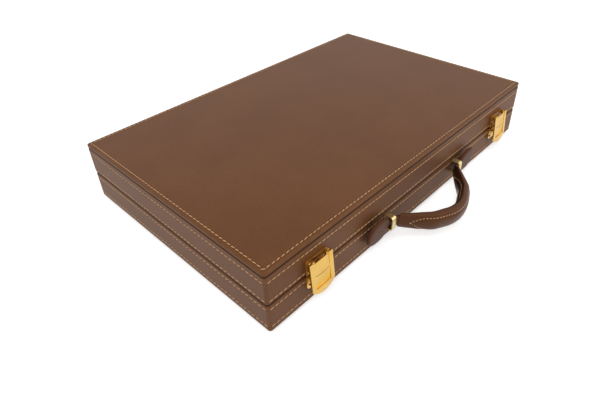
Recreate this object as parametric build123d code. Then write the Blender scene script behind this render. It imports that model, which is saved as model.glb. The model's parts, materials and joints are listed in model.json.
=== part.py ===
from build123d import *
import math
import os

# Folding backgammon set in a leather attache case, closed, handle and latches towards -Y.
# Millimetres. Origin at the centre of the underside, +X to the right, +Y to the hinge, +Z up.

# Case shell
case_length = 446.0
case_width = 290.0
wall_height = 33.0
panel_thick = 4.5
panel_roll = 2.0
bottom_inset = 5.5
corner_radius = 3.0
edge_roll = 2.0
rim_gap = 0.6
rail_thick = 10.0
leather_thick = 1.4
floor_thick = 4.0
inner_roll = 0.9
roll_limit = 0.45
match_margin = 0.01

# Playing field and tray
point_count = 6
point_length = 176.0
point_gap = 0.8
point_thick = 0.8
field_thick = 4.0
divider_thick = 6.0
divider_drop = 1.5
divider_roll = 1.6
lining_thick = 1.0
tray_side_gap = 1.2

# Loose pieces kept in the tray
checker_diameter = 36.0
checker_thick = 7.8
checker_pitch = 8.0
checker_count = 15
row_gap = 2.0
seat_gap = 0.15
doubling_cube_side = 24.0
cube_chamfer = 1.5
die_side = 14.0
die_gap = 1.0
die_chamfer = 1.0
cup_length = 69.0
cup_half_width = 18.5
cup_half_height = 24.0
cup_wall = 2.6
cup_base = 3.0
cup_band_length = 6.0
cup_band_relief = 0.7
cup_end_gap = 1.0

# Piano hinge
leaf_end_gap = 13.0
leaf_thick = 1.0
leaf_parting = 0.3
leaf_margin = 2.5
knuckle_count = 15
knuckle_gap = 0.2
barrel_radius = 2.3
barrel_offset = 0.5
barrel_clear = 0.4
hinge_pin_radius = 1.0
running_clear = 0.05
fixed_clear = 0.03
screw_count = 7
screw_head_radius = 2.0
screw_shank_radius = 1.0
screw_length = 8.0
weld_depth = 0.1

# Latches: rises and drops are from the parting plane, reaches are out from the front face
latch_inset = 57.7
plate_width = 26.6
plate_thick = 1.5
plate_rise = 17.5
plate_corner = 1.5
plate_parting = 0.9
keeper_drop = 16.0
keeper_corner = 4.0
lever_width = 28.6
lever_length = 38.0
lever_shoulder = 31.0
lever_thick = 1.8
lever_tilt = 5.2
lever_back_reach = 5.0
lever_top_gap = 0.2
notch_half_width = 9.4
notch_depth = 1.8
pocket_half_width = 9.6
pocket_bottom = 30.5
pocket_depth = 0.5
pull_start = 17.5
pull_depth = 1.3
slit_drop = 15.5
slit_half_width = 8.4
slit_width = 0.5
slit_bow = 1.2
slit_depth = 0.4
latch_pin_radius = 0.8
latch_knuckle_radius = 1.6
ear_outer = 12.9
ear_thick = 2.5
knuckle_width = 2.7
side_clear = 0.3
hook_pivot_drop = 9.0
hook_width = 6.0
hook_thick = 1.1
hook_eye_radius = 1.5
hook_pin_radius = 0.7
hook_nose_thick = 1.2
hook_open_angle = 9.0
hook_clear = 0.4
lug_thick = 1.5
lug_radius = 1.7
catch_half_width = 4.5
catch_reach = 1.8
catch_thick = 1.2
catch_drop = 6.9
rivet_head_radius = 1.8
rivet_head_height = 0.8
rivet_shank_radius = 0.9
rivet_length = 6.0
rivet_x = 9.8
rivet_edge = 3.6

# Carrying handle: the drop is from the parting plane to the strap's middle, the droop an angle
loop_x = 64.0
loop_width = 6.0
loop_band = 1.2
loop_height = 16.0
loop_reach = 11.5
loop_corner = 2.6
loop_leg = 6.0
handle_drop = 9.0
handle_droop = 7.6
strap_thick = 3.4
strap_reach = 6.0
strap_clear = 0.8
strap_in_tab = 22.0
strap_bend_radius = 14.0
bow_corner_x = 61.0
bow_shoulder_x = 31.0
bow_shoulder_reach = 35.6
bow_shoulder_radius = 26.0
bow_top_reach = 49.5
bow_top_radius = 40.0
grip_half_thick = 6.4
grip_half_height = 12.0
grip_end_half_thick = 3.0
grip_end_half_height = 7.8
grip_end_inset = 5.5
grip_taper = 50.0
grip_end_sections = 4
tab_half_length = 16.0
tab_half_height = 15.0
tab_inner_reach = 4.6
tab_thick = 4.0
tab_roll = 1.4
tab_gap = 1.0

# Places worked out from the sizes above
part_z = panel_thick + wall_height
rim_z = part_z - rim_gap / 2
board_top = panel_thick + floor_thick
field_top = board_top + field_thick
wall_total = 2 * leather_thick + rail_thick
inner_x = case_length / 2 - wall_total
inner_y = case_width / 2 - wall_total
rail_out_x = case_length / 2 - leather_thick
rail_out_y = case_width / 2 - leather_thick
rail_in_x = rail_out_x - rail_thick
rail_in_y = rail_out_y - rail_thick
tray_width = max(checker_diameter, 2 * cup_half_width) + 2 * tray_side_gap
tray_back = tray_width - inner_y
field_front = tray_back + divider_thick
point_pitch = (inner_y - field_front) / point_count
tray_y = (tray_back - inner_y) / 2
tray_floor = board_top + lining_thick
hinge_y = case_width / 2 + barrel_offset
leaf_top = part_z - leaf_parting / 2
leaf_front = case_width / 2 - wall_total + leaf_margin
leaf_back = hinge_y - barrel_radius - barrel_clear
screw_y = (leaf_front + leaf_back) / 2
front_y = -case_width / 2
leaf_length = case_length - 2 * leaf_end_gap
knuckle_length = leaf_length / knuckle_count

nodes = {}


def slab(x0, x1, y0, y1, z0, z1):
    """Block between two corners."""
    return Pos((x0 + x1) / 2, (y0 + y1) / 2, (z0 + z1) / 2) * Box(x1 - x0, y1 - y0, z1 - z0)


def rod(x0, x1, y, z, radius):
    """Round bar along X."""
    return Pos((x0 + x1) / 2, y, z) * Rot(0, 90, 0) * Cylinder(radius, x1 - x0)


def stud(x, z, radius, y0, y1):
    """Round bar along Y."""
    return Pos(x, (y0 + y1) / 2, z) * Rot(90, 0, 0) * Cylinder(radius, y1 - y0)


def group(solids):
    """Several separate solids kept as one node."""
    return Compound(children=list(solids))


def rounded_block(length, width, z0, z1, plan_radius, roll):
    """Block with rounded upright corners and rolled top and bottom edges."""
    block = Pos(0, 0, z0) * extrude(RectangleRounded(length, width, plan_radius), z1 - z0)
    return fillet(block.faces().filter_by(Axis.Z).edges(), min(roll, roll_limit * (z1 - z0)))


def to_lid(shape):
    """The same shape turned over for the lid, mirrored at the parting plane."""
    return mirror(shape, about=Plane.XY.offset(part_z))


def case_rails():
    """Four wooden rails, mitred at the corners, by side."""
    z0 = panel_thick + leather_thick
    z1 = rim_z - leather_thick
    signs = [(-1, -1), (1, -1), (1, 1), (-1, 1)]
    rails = {}
    for index, side in enumerate(["front", "right", "back", "left"]):
        ax, ay = signs[index]
        bx, by = signs[(index + 1) % 4]
        plan = make_face(Polyline(
            (ax * rail_out_x, ay * rail_out_y), (bx * rail_out_x, by * rail_out_y),
            (bx * rail_in_x, by * rail_in_y), (ax * rail_in_x, ay * rail_in_y), close=True))
        rails[side] = Pos(0, 0, z0) * extrude(plan, z1 - z0, dir=(0, 0, 1))
    return rails


def wall_leather():
    """Leather band that wraps the four rails outside, over the rim and down inside."""
    band = rounded_block(case_length, case_width, panel_thick, rim_z, corner_radius, edge_roll)
    band -= slab(-rail_in_x, rail_in_x, -rail_in_y, rail_in_y, panel_thick, board_top)
    band -= slab(-inner_x, inner_x, -inner_y, inner_y, board_top, rim_z)
    rail_z = (panel_thick + leather_thick, rim_z - leather_thick)
    band -= (slab(-rail_out_x, rail_out_x, -rail_out_y, rail_out_y, *rail_z)
             - slab(-rail_in_x, rail_in_x, -rail_in_y, rail_in_y, *rail_z))
    rim_edges = [edge for edge in band.edges().filter_by_position(Axis.Z, rim_z, rim_z)
                 if abs(edge.center().X) <= inner_x + match_margin
                 and abs(edge.center().Y) <= inner_y + match_margin]
    return fillet(rim_edges, min(inner_roll, 2 * roll_limit * leather_thick))


def hinge_seat():
    """Space cut in a back rim for the hinge leaf and the round of the barrel."""
    mortise = slab(-leaf_length / 2, leaf_length / 2, leaf_front, case_width / 2 + edge_roll,
                   leaf_top - leaf_thick, part_z)
    groove = rod(-leaf_length / 2 - barrel_clear, leaf_length / 2 + barrel_clear,
                 hinge_y, part_z, barrel_radius + barrel_clear)
    return [mortise, groove]


def screw_places():
    """X places of the screws along a hinge leaf, each in the middle of its share."""
    share = leaf_length / screw_count
    return [share * (index + 0.5) - leaf_length / 2 for index in range(screw_count)]


def countersunk_screw(x, clear=0.0):
    """Countersunk screw, head flush with the leaf; clear widens it into its own hole."""
    head = Pos(x, screw_y, leaf_top - leaf_thick / 2) * Cone(
        screw_shank_radius + clear, screw_head_radius + clear, leaf_thick)
    shank_z = leaf_top - leaf_thick
    shank = Pos(x, screw_y, (shank_z + leaf_top - screw_length) / 2) * Cylinder(
        screw_shank_radius + clear, shank_z - leaf_top + screw_length)
    return head + shank


def hinge_leaf(first_knuckle):
    """Piano hinge leaf with every second knuckle, starting from the given one."""
    z0, z1 = leaf_top - leaf_thick, leaf_top
    leaf = slab(-leaf_length / 2, leaf_length / 2, leaf_front, leaf_back, z0, z1)
    for index in range(first_knuckle, knuckle_count, 2):
        x0 = index * knuckle_length - leaf_length / 2 + knuckle_gap / 2
        x1 = x0 + knuckle_length - knuckle_gap
        leaf += slab(x0, x1, leaf_back - weld_depth, hinge_y, z0, z1)
        leaf += rod(x0, x1, hinge_y, part_z, barrel_radius)
    leaf -= rod(-leaf_length, leaf_length, hinge_y, part_z, hinge_pin_radius + running_clear)
    return leaf - [countersunk_screw(x, fixed_clear) for x in screw_places()]


def field_points(parity):
    """Points of one colour, six from each end of the case, alternating across the field."""
    solids = []
    z0 = field_top
    for end in (-1, 1):
        for index in range(point_count):
            if (index + (end > 0)) % 2 != parity:
                continue
            y0 = field_front + index * point_pitch + point_gap / 2
            y1 = y0 + point_pitch - point_gap
            base_x = end * (inner_x - point_gap)
            tip_x = end * (inner_x - point_gap - point_length)
            plan = make_face(Polyline((base_x, y0), (base_x, y1), (tip_x, (y0 + y1) / 2), close=True))
            solids.append(Pos(0, 0, z0) * extrude(plan, point_thick, dir=(0, 0, 1)))
    return group(solids)


def tray_divider():
    """Leather-covered wall between the field and the tray, with a rolled top edge."""
    wall = slab(-inner_x, inner_x, tray_back, field_front, board_top, rim_z - divider_drop)
    top_edges = wall.edges().filter_by(Axis.X).group_by(Axis.Z)[-1]
    return fillet(top_edges, min(divider_roll, roll_limit * divider_thick))


def case_half():
    """Everything that both halves share, as the lower half lies, by piece name."""
    seat = hinge_seat()
    screw_holes = [countersunk_screw(x, fixed_clear) for x in screw_places()]
    rails = case_rails()
    rails["back"] = rails["back"] - seat - screw_holes
    half = {f"{side}_rail": rail for side, rail in rails.items()}
    half["wall_leather"] = wall_leather() - seat - screw_holes
    half["floor_board"] = slab(-rail_in_x, rail_in_x, -rail_in_y, rail_in_y, panel_thick, board_top)
    half["playing_board"] = slab(-inner_x, inner_x, field_front, inner_y, board_top, field_top)
    half["points_light"] = field_points(0)
    half["points_dark"] = field_points(1)
    half["tray_divider"] = tray_divider()
    half["tray_lining"] = slab(-inner_x, inner_x, -inner_y, tray_back, board_top, tray_floor)
    return half


# Lower half and its piano hinge leaf, then the lid as the same half turned over
for name, shape in case_half().items():
    nodes[f"base_{name}"] = shape
    nodes[f"lid_{name}"] = to_lid(shape)

nodes["base_bottom_panel"] = rounded_block(
    case_length - 2 * bottom_inset, case_width - 2 * bottom_inset, 0, panel_thick,
    corner_radius, panel_roll)
nodes["lid_top_panel"] = to_lid(rounded_block(
    case_length, case_width, 0, panel_thick, corner_radius, panel_roll))
nodes["hinge_leaf_base"] = hinge_leaf(0)
nodes["hinge_leaf_lid"] = to_lid(hinge_leaf(1))
nodes["hinge_pin"] = rod(-leaf_length / 2, leaf_length / 2, hinge_y, part_z, hinge_pin_radius)
nodes["hinge_screws_base"] = group(countersunk_screw(x) for x in screw_places())
nodes["hinge_screws_lid"] = group(to_lid(countersunk_screw(x)) for x in screw_places())

# Latches: plate, lever and hook on the lid, keeper on the base
latch_x = case_length / 2 - latch_inset
plate_top = part_z + plate_rise
keeper_top = part_z - plate_parting
keeper_bottom = part_z - keeper_drop
latch_pin_z = plate_top - latch_knuckle_radius - lever_top_gap
latch_pin_y = front_y - plate_thick - side_clear - latch_knuckle_radius
hook_pin_z = latch_pin_z - hook_pivot_drop
hook_pin_y = front_y - plate_thick - side_clear - lug_radius
catch_top = part_z - catch_drop
catch_bottom = catch_top - catch_thick


def rivet_hole(x, z):
    """Hole for a rivet's shank, through a front plate and into the rail."""
    return stud(x, z, rivet_shank_radius + fixed_clear, front_y - plate_thick, front_y + rivet_length)


def rivet(x, z):
    """Domed rivet through a front plate into the rail, turned about its own axis."""
    seat = front_y - plate_thick
    dome_radius = (rivet_head_radius ** 2 + rivet_head_height ** 2) / (2 * rivet_head_height)
    dome_angle = math.degrees(math.asin(rivet_head_radius / dome_radius))
    profile = make_face([
        Line((0, front_y + rivet_length), (rivet_shank_radius, front_y + rivet_length)),
        Line((rivet_shank_radius, front_y + rivet_length), (rivet_shank_radius, seat)),
        Line((rivet_shank_radius, seat), (rivet_head_radius, seat)),
        CenterArc((0, seat - rivet_head_height + dome_radius), dome_radius, -90, dome_angle),
        Line((0, seat - rivet_head_height), (0, front_y + rivet_length))])
    return Pos(x, 0, z) * revolve(profile, Axis.Y)


def front_plate(x, z0, z1, corner, rounded_end):
    """Flat brass plate on the front face with two rounded corners at one end."""
    plate = slab(x - plate_width / 2, x + plate_width / 2, front_y - plate_thick, front_y, z0, z1)
    ends = plate.edges().filter_by(Axis.Y).group_by(Axis.Z)
    return fillet(ends[rounded_end], corner)


def latch_plate(x):
    """Lid plate with two ears for the lever's pin."""
    plate = front_plate(x, part_z + plate_parting, plate_top, plate_corner, -1)
    for side in (-1, 1):
        x0, x1 = sorted((x + side * ear_outer, x + side * (ear_outer - ear_thick)))
        plate += slab(x0, x1, latch_pin_y, front_y - plate_thick / 2,
                      latch_pin_z - latch_knuckle_radius, latch_pin_z + latch_knuckle_radius)
        plate += rod(x0, x1, latch_pin_y, latch_pin_z, latch_knuckle_radius)
    return plate - rod(x - ear_outer, x + ear_outer, latch_pin_y, latch_pin_z,
                       latch_pin_radius + fixed_clear)


def lever_outline():
    """Outline of the lever's face: a notch between two top corners and a rounded foot."""
    half = lever_width / 2
    return make_face([
        Polyline((-half, -lever_shoulder), (-half, 0), (-notch_half_width, 0),
                 (-notch_half_width, -notch_depth), (notch_half_width, -notch_depth),
                 (notch_half_width, 0), (half, 0), (half, -lever_shoulder)),
        ThreePointArc((half, -lever_shoulder), (0, -lever_length), (-half, -lever_shoulder))])


def pull_ramp():
    """Wedge cut behind the lever's face, deepest at its lower end, seen from the side."""
    return make_face(Polyline((-pull_start, 0), (-pocket_bottom, 0), (-pocket_bottom, -pull_depth),
                              (-pull_start, -pocket_depth), close=True))


def lever_slit():
    """Thin curved line across the lever's recess."""
    upper = ThreePointArc((-slit_half_width, -slit_drop), (0, -slit_drop - slit_bow),
                          (slit_half_width, -slit_drop))
    lower = Pos(0, -slit_width) * upper
    return make_face([upper, Line(upper @ 1, lower @ 1), lower, Line(lower @ 0, upper @ 0)])


def latch_lever(x):
    """Sloping lever with its recess, finger pull, two knuckles and two hook lugs."""
    slope = math.radians(lever_tilt)
    half = lever_width / 2
    face = Plane(origin=(x, front_y - lever_back_reach - lever_thick, plate_top - lever_top_gap),
                 x_dir=(1, 0, 0), z_dir=(0, -math.cos(slope), math.sin(slope)))
    lever = extrude(face * lever_outline(), -lever_thick)
    recess = Pos(0, -pocket_bottom / 2) * Rectangle(2 * pocket_half_width, pocket_bottom)
    lever -= extrude(face * recess, -pocket_depth)
    lever -= extrude(face * lever_slit(), -pocket_depth - slit_depth)
    side_plane = Plane(origin=(x - pocket_half_width, face.origin.Y, face.origin.Z),
                       x_dir=face.y_dir, z_dir=(1, 0, 0))
    ramp = pull_ramp()
    if side_plane.y_dir.dot(face.z_dir) < 0:
        ramp = mirror(ramp, about=Plane.XZ)
    lever -= extrude(side_plane * ramp, 2 * pocket_half_width, dir=(1, 0, 0))

    for side in (-1, 1):
        reach = ear_outer - ear_thick - side_clear
        x0, x1 = sorted((x + side * reach, x + side * (reach - knuckle_width)))
        lever += slab(x0, x1, front_y - lever_back_reach - lever_thick / 2, latch_pin_y,
                      latch_pin_z - latch_knuckle_radius, latch_pin_z + latch_knuckle_radius)
        lever += rod(x0, x1, latch_pin_y, latch_pin_z, latch_knuckle_radius)
        reach = hook_width / 2 + side_clear + lug_thick
        x0, x1 = sorted((x + side * reach, x + side * (reach - lug_thick)))
        lever += slab(x0, x1, front_y - lever_back_reach - lever_thick, hook_pin_y,
                      hook_pin_z - lug_radius, hook_pin_z + lug_radius)
        lever += rod(x0, x1, hook_pin_y, hook_pin_z, lug_radius)
    lever -= rod(x - ear_outer, x + ear_outer, latch_pin_y, latch_pin_z,
                 latch_pin_radius + running_clear)
    return lever - rod(x - half, x + half, hook_pin_y, hook_pin_z, hook_pin_radius + fixed_clear)


def latch_hook(x):
    """Hook strip hung behind the lever, drawn swung just clear of the catch."""
    x0, x1 = x - hook_width / 2, x + hook_width / 2
    shank_y = front_y - plate_thick - catch_reach - hook_clear
    nose_z = catch_bottom - hook_clear
    hook = rod(x0, x1, hook_pin_y, hook_pin_z, hook_eye_radius)
    hook += slab(x0, x1, shank_y - hook_thick, shank_y, nose_z - hook_nose_thick, hook_pin_z)
    hook += slab(x0, x1, shank_y - hook_thick, front_y - plate_thick - hook_clear,
                 nose_z - hook_nose_thick, nose_z)
    hook -= rod(x0 - 1, x1 + 1, hook_pin_y, hook_pin_z, hook_pin_radius + running_clear)
    pivot = Pos(0, hook_pin_y, hook_pin_z)
    return pivot * Rot(-hook_open_angle, 0, 0) * pivot.inverse() * hook


def keeper_catch(x):
    """Catch that stands on the keeper's face, for the hook to pull on."""
    catch = slab(x - catch_half_width, x + catch_half_width, front_y - plate_thick - catch_reach,
                 front_y - plate_thick, catch_bottom, catch_top)
    outer_edges = catch.edges().filter_by(Axis.Z).group_by(Axis.Y)[0]
    return fillet(outer_edges, roll_limit * catch_reach)


keeper_rivets = []
plate_rivets = []
rivet_holes = []
for side, x in (("left", -latch_x), ("right", latch_x)):
    keeper_places = [(x + sign * rivet_x, z) for sign in (-1, 1)
                     for z in (keeper_bottom + keeper_corner, keeper_top - rivet_edge)]
    plate_places = [(x + sign * rivet_x, part_z + plate_parting + rivet_edge) for sign in (-1, 1)]
    keeper_rivets += [rivet(*place) for place in keeper_places]
    plate_rivets += [rivet(*place) for place in plate_places]
    holes = [rivet_hole(*place) for place in keeper_places + plate_places]
    rivet_holes += holes
    nodes[f"keeper_{side}"] = front_plate(x, keeper_bottom, keeper_top, keeper_corner, 0) - holes
    nodes[f"keeper_catch_{side}"] = keeper_catch(x)
    nodes[f"latch_plate_{side}"] = latch_plate(x) - holes
    nodes[f"latch_pin_{side}"] = rod(x - ear_outer, x + ear_outer, latch_pin_y, latch_pin_z,
                                     latch_pin_radius)
    nodes[f"latch_lever_{side}"] = latch_lever(x)
    nodes[f"latch_hook_{side}"] = latch_hook(x)
    pin_reach = hook_width / 2 + side_clear + lug_thick
    nodes[f"hook_pin_{side}"] = rod(x - pin_reach, x + pin_reach, hook_pin_y, hook_pin_z,
                                    hook_pin_radius)
nodes["keeper_rivets"] = group(keeper_rivets)
nodes["latch_plate_rivets"] = group(plate_rivets)
for name in ("base_front_rail", "lid_front_rail", "base_wall_leather", "lid_wall_leather"):
    nodes[name] -= rivet_holes

# Handle: brass loops let into the front wall, one bowed strap with end tabs and a padded grip,
# built level and then let down a little in its loops
strap_y = front_y - strap_reach
handle_height = part_z - handle_drop
strap_height = loop_height - 2 * (loop_band + strap_clear)
tab_root_x = loop_x + loop_width / 2 + tab_gap
strap_end_x = tab_root_x + strap_in_tab


def handle_loop(x):
    """Brass staple that the strap runs through, with its two legs let into the wall."""
    z0, z1 = handle_height - loop_height / 2, handle_height + loop_height / 2
    x0, x1 = x - loop_width / 2, x + loop_width / 2
    outer = slab(x0, x1, front_y - loop_reach, front_y + loop_leg, z0, z1)
    outer = fillet(outer.edges().filter_by(Axis.X).group_by(Axis.Y)[0], loop_corner)
    inner = slab(x0, x1, front_y - loop_reach + loop_band, front_y + loop_leg,
                 z0 + loop_band, z1 - loop_band)
    inner_corner = max(loop_corner - loop_band, loop_band / 2)
    inner = fillet(inner.edges().filter_by(Axis.X).group_by(Axis.Y)[0], inner_corner)
    return outer - inner


def loop_slots(x):
    """Slots in the wall for the two legs of one loop."""
    x0, x1 = x - loop_width / 2 - fixed_clear, x + loop_width / 2 + fixed_clear
    slots = []
    for side in (-1, 1):
        outer = handle_height + side * (loop_height / 2 + fixed_clear)
        inner = handle_height + side * (loop_height / 2 - loop_band - fixed_clear)
        slots.append(slab(x0, x1, front_y, front_y + loop_leg + fixed_clear,
                          min(outer, inner), max(outer, inner)))
    return slots


def handle_path():
    """Centre line of the strap: straight through the loops and bowed out between them."""
    half = [(-strap_end_x, strap_y), (-bow_corner_x, strap_y),
            (-bow_shoulder_x, front_y - bow_shoulder_reach)]
    points = half + [(0, front_y - bow_top_reach)] + [(-px, py) for px, py in reversed(half)]
    radii = [strap_bend_radius, bow_shoulder_radius, bow_top_radius,
             bow_shoulder_radius, strap_bend_radius]
    return Pos(0, 0, handle_height) * FilletPolyline(*points, radius=radii)


def across(path, distance):
    """Plane square to the path at a distance along it, its X axis upright."""
    share = distance / path.length
    return Plane(origin=path @ share, x_dir=(0, 0, 1), z_dir=path % share)


def strap_core(path):
    """Flat strap along the whole path."""
    return sweep(across(path, 0) * Rectangle(strap_height, strap_thick), path=path)


def handle_tab(side):
    """Rounded leather end that keeps the strap from pulling through its loop."""
    x = side * (tab_root_x + tab_half_length)
    plane = Plane(origin=(x, front_y - tab_inner_reach, handle_height),
                  x_dir=(1, 0, 0), z_dir=(0, -1, 0))
    tab = extrude(plane * Ellipse(tab_half_length, tab_half_height), tab_thick)
    outer_edge = tab.edges().group_by(Axis.Y)[0]
    return fillet(outer_edge, min(tab_roll, roll_limit * tab_thick))


def grip_body(path):
    """Padded sleeve, oval in section, swelling from both ends to the middle."""
    start = strap_end_x - bow_corner_x + grip_end_inset
    tapers = [grip_taper * (index / grip_end_sections) ** 2 for index in range(grip_end_sections + 1)]
    stations = [start + taper for taper in tapers] + [path.length / 2]
    stations += [path.length - start - taper for taper in reversed(tapers)]
    sections = []
    for distance in stations:
        inward = min(distance, path.length - distance) - start
        swell = math.sin(min(1, inward / grip_taper) * math.pi / 2)
        half_height = grip_end_half_height + swell * (grip_half_height - grip_end_half_height)
        half_thick = grip_end_half_thick + swell * (grip_half_thick - grip_end_half_thick)
        sections.append(across(path, distance) * Ellipse(half_height, half_thick))
    return loft(sections)


path = handle_path()
strap = strap_core(path)
swing_axis = Pos(0, strap_y, handle_height)
hang = swing_axis * Rot(handle_droop, 0, 0) * swing_axis.inverse()
nodes["handle_grip"] = hang * (grip_body(path) - strap)
nodes["handle_strap"] = hang * (strap + handle_tab(-1) + handle_tab(1))
for side, x in (("left", -loop_x), ("right", loop_x)):
    nodes[f"handle_loop_{side}"] = handle_loop(x)
    for name in ("base_front_rail", "base_wall_leather"):
        nodes[name] -= loop_slots(x)

# Loose pieces as packed in the tray of the lower half: a cube, a row of checkers each side, cups
checker_z = tray_floor + seat_gap + checker_diameter / 2
row_start = doubling_cube_side / 2 + row_gap
row_room = inner_x - cup_end_gap - cup_length - row_gap - row_start
row_count = min(checker_count, int(row_room / checker_pitch))
for colour, end in (("light", -1), ("dark", 1)):
    discs = []
    for index in range(row_count):
        x0 = row_start + index * checker_pitch
        x_pair = sorted((end * x0, end * (x0 + checker_thick)))
        discs.append(rod(*x_pair, tray_y, checker_z, checker_diameter / 2))
    nodes[f"checkers_{colour}"] = group(discs)

cube = slab(-doubling_cube_side / 2, doubling_cube_side / 2,
            tray_y - doubling_cube_side / 2, tray_y + doubling_cube_side / 2,
            tray_floor, tray_floor + doubling_cube_side)
nodes["doubling_cube"] = chamfer(cube.edges(), cube_chamfer)

cup_z = tray_floor + seat_gap + cup_half_height


def oval_block(x0, x1, shrink):
    """Oval block along X, smaller all round than the cup by the given amount."""
    plane = Plane(origin=(x0, tray_y, cup_z), x_dir=(0, 1, 0), z_dir=(1, 0, 0))
    return extrude(plane * Ellipse(cup_half_width - shrink, cup_half_height - shrink), x1 - x0)


def dice_cup():
    """Right-hand dice cup on its side, mouth towards the middle, with a band at each end."""
    x1 = inner_x - cup_end_gap
    x0 = x1 - cup_length
    cup = oval_block(x0, x0 + cup_band_length, 0)
    cup += oval_block(x0 + cup_band_length, x1 - cup_band_length, cup_band_relief)
    cup += oval_block(x1 - cup_band_length, x1, 0)
    return cup - oval_block(x0, x1 - cup_base, cup_wall)


def dice_pair():
    """Two dice lying side by side along the right-hand cup, near its closed end."""
    inner_half_width = cup_half_width - cup_wall
    share = die_side / 2 / inner_half_width
    z0 = cup_z - (cup_half_height - cup_wall) * math.sqrt(1 - share ** 2) + seat_gap
    dice = []
    for index in range(2):
        x1 = inner_x - cup_end_gap - cup_base - die_gap - index * (die_side + die_gap)
        die = slab(x1 - die_side, x1, tray_y - die_side / 2, tray_y + die_side / 2, z0, z0 + die_side)
        dice.append(chamfer(die.edges(), die_chamfer))
    return group(dice)


nodes["dice_cup_right"] = dice_cup()
nodes["dice_cup_left"] = mirror(dice_cup(), about=Plane.YZ)
nodes["dice_dark"] = dice_pair()
nodes["dice_light"] = mirror(dice_pair(), about=Plane.YZ)

os.makedirs("parts", exist_ok=True)
for name, shape in nodes.items():
    export_step(shape, f"parts/{name}.step")
print(len(nodes), "nodes written")
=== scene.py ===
"""Looks of the folding backgammon set: a stitched leather attache case with brass latches and a handle."""

import json
import logging
import math
from dataclasses import dataclass, replace
from enum import Enum
from typing import Any

import bmesh
import bpy
import numpy as np
from mathutils import Matrix, Vector

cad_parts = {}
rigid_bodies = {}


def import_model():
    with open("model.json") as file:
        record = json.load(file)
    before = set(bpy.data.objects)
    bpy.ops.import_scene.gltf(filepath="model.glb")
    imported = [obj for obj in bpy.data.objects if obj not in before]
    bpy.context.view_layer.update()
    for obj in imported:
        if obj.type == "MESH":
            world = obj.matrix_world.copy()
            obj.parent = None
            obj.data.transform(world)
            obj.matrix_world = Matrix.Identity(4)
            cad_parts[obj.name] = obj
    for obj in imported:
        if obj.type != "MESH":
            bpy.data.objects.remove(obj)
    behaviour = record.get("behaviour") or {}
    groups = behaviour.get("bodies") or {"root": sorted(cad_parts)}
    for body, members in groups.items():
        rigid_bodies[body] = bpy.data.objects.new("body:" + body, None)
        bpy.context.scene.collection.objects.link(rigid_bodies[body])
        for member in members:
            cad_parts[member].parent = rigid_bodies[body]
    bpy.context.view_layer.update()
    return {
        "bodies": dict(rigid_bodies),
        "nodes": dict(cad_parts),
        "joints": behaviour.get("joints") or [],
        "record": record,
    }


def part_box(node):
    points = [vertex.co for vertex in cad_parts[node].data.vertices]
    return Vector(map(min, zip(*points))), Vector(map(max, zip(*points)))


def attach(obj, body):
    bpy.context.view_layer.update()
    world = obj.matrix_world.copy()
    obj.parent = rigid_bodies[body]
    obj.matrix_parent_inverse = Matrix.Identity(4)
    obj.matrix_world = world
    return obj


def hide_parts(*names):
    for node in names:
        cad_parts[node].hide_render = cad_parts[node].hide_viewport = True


logging.basicConfig(level=logging.INFO, format="%(name)s: %(message)s")
log = logging.getLogger("backgammon_set")

Rgb = tuple[float, float, float]
Point = tuple[float, float, float]
Ring = list[Point]
Face = tuple[int, ...]
Row = tuple[list[Vector], list[Vector], bool]

WALL_ROWS = ("Lid Upper", "Lid Lower", "Base Upper", "Base Lower")


def paint(red: int, green: int, blue: int) -> Rgb:
    """Linear colour of an 8-bit screen colour.

    Args:
        red: Red, 0 to 255.
        green: Green, 0 to 255.
        blue: Blue, 0 to 255.

    Returns:
        The same colour in linear light.
    """

    def linear(value: int) -> float:
        """One channel in linear light."""
        share = value / 255
        return share / 12.92 if share <= 0.04045 else ((share + 0.055) / 1.055) ** 2.4

    return linear(red), linear(green), linear(blue)


class Side(Enum):
    """Left or right of the case, as seen from the handle."""

    LEFT = -1
    RIGHT = 1

    @property
    def word(self) -> str:
        """The side's name as the CAD nodes spell it."""
        return self.name.lower()


class Facing(Enum):
    """Which way a panel's stitches look."""

    UP = 1
    DOWN = -1


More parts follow.
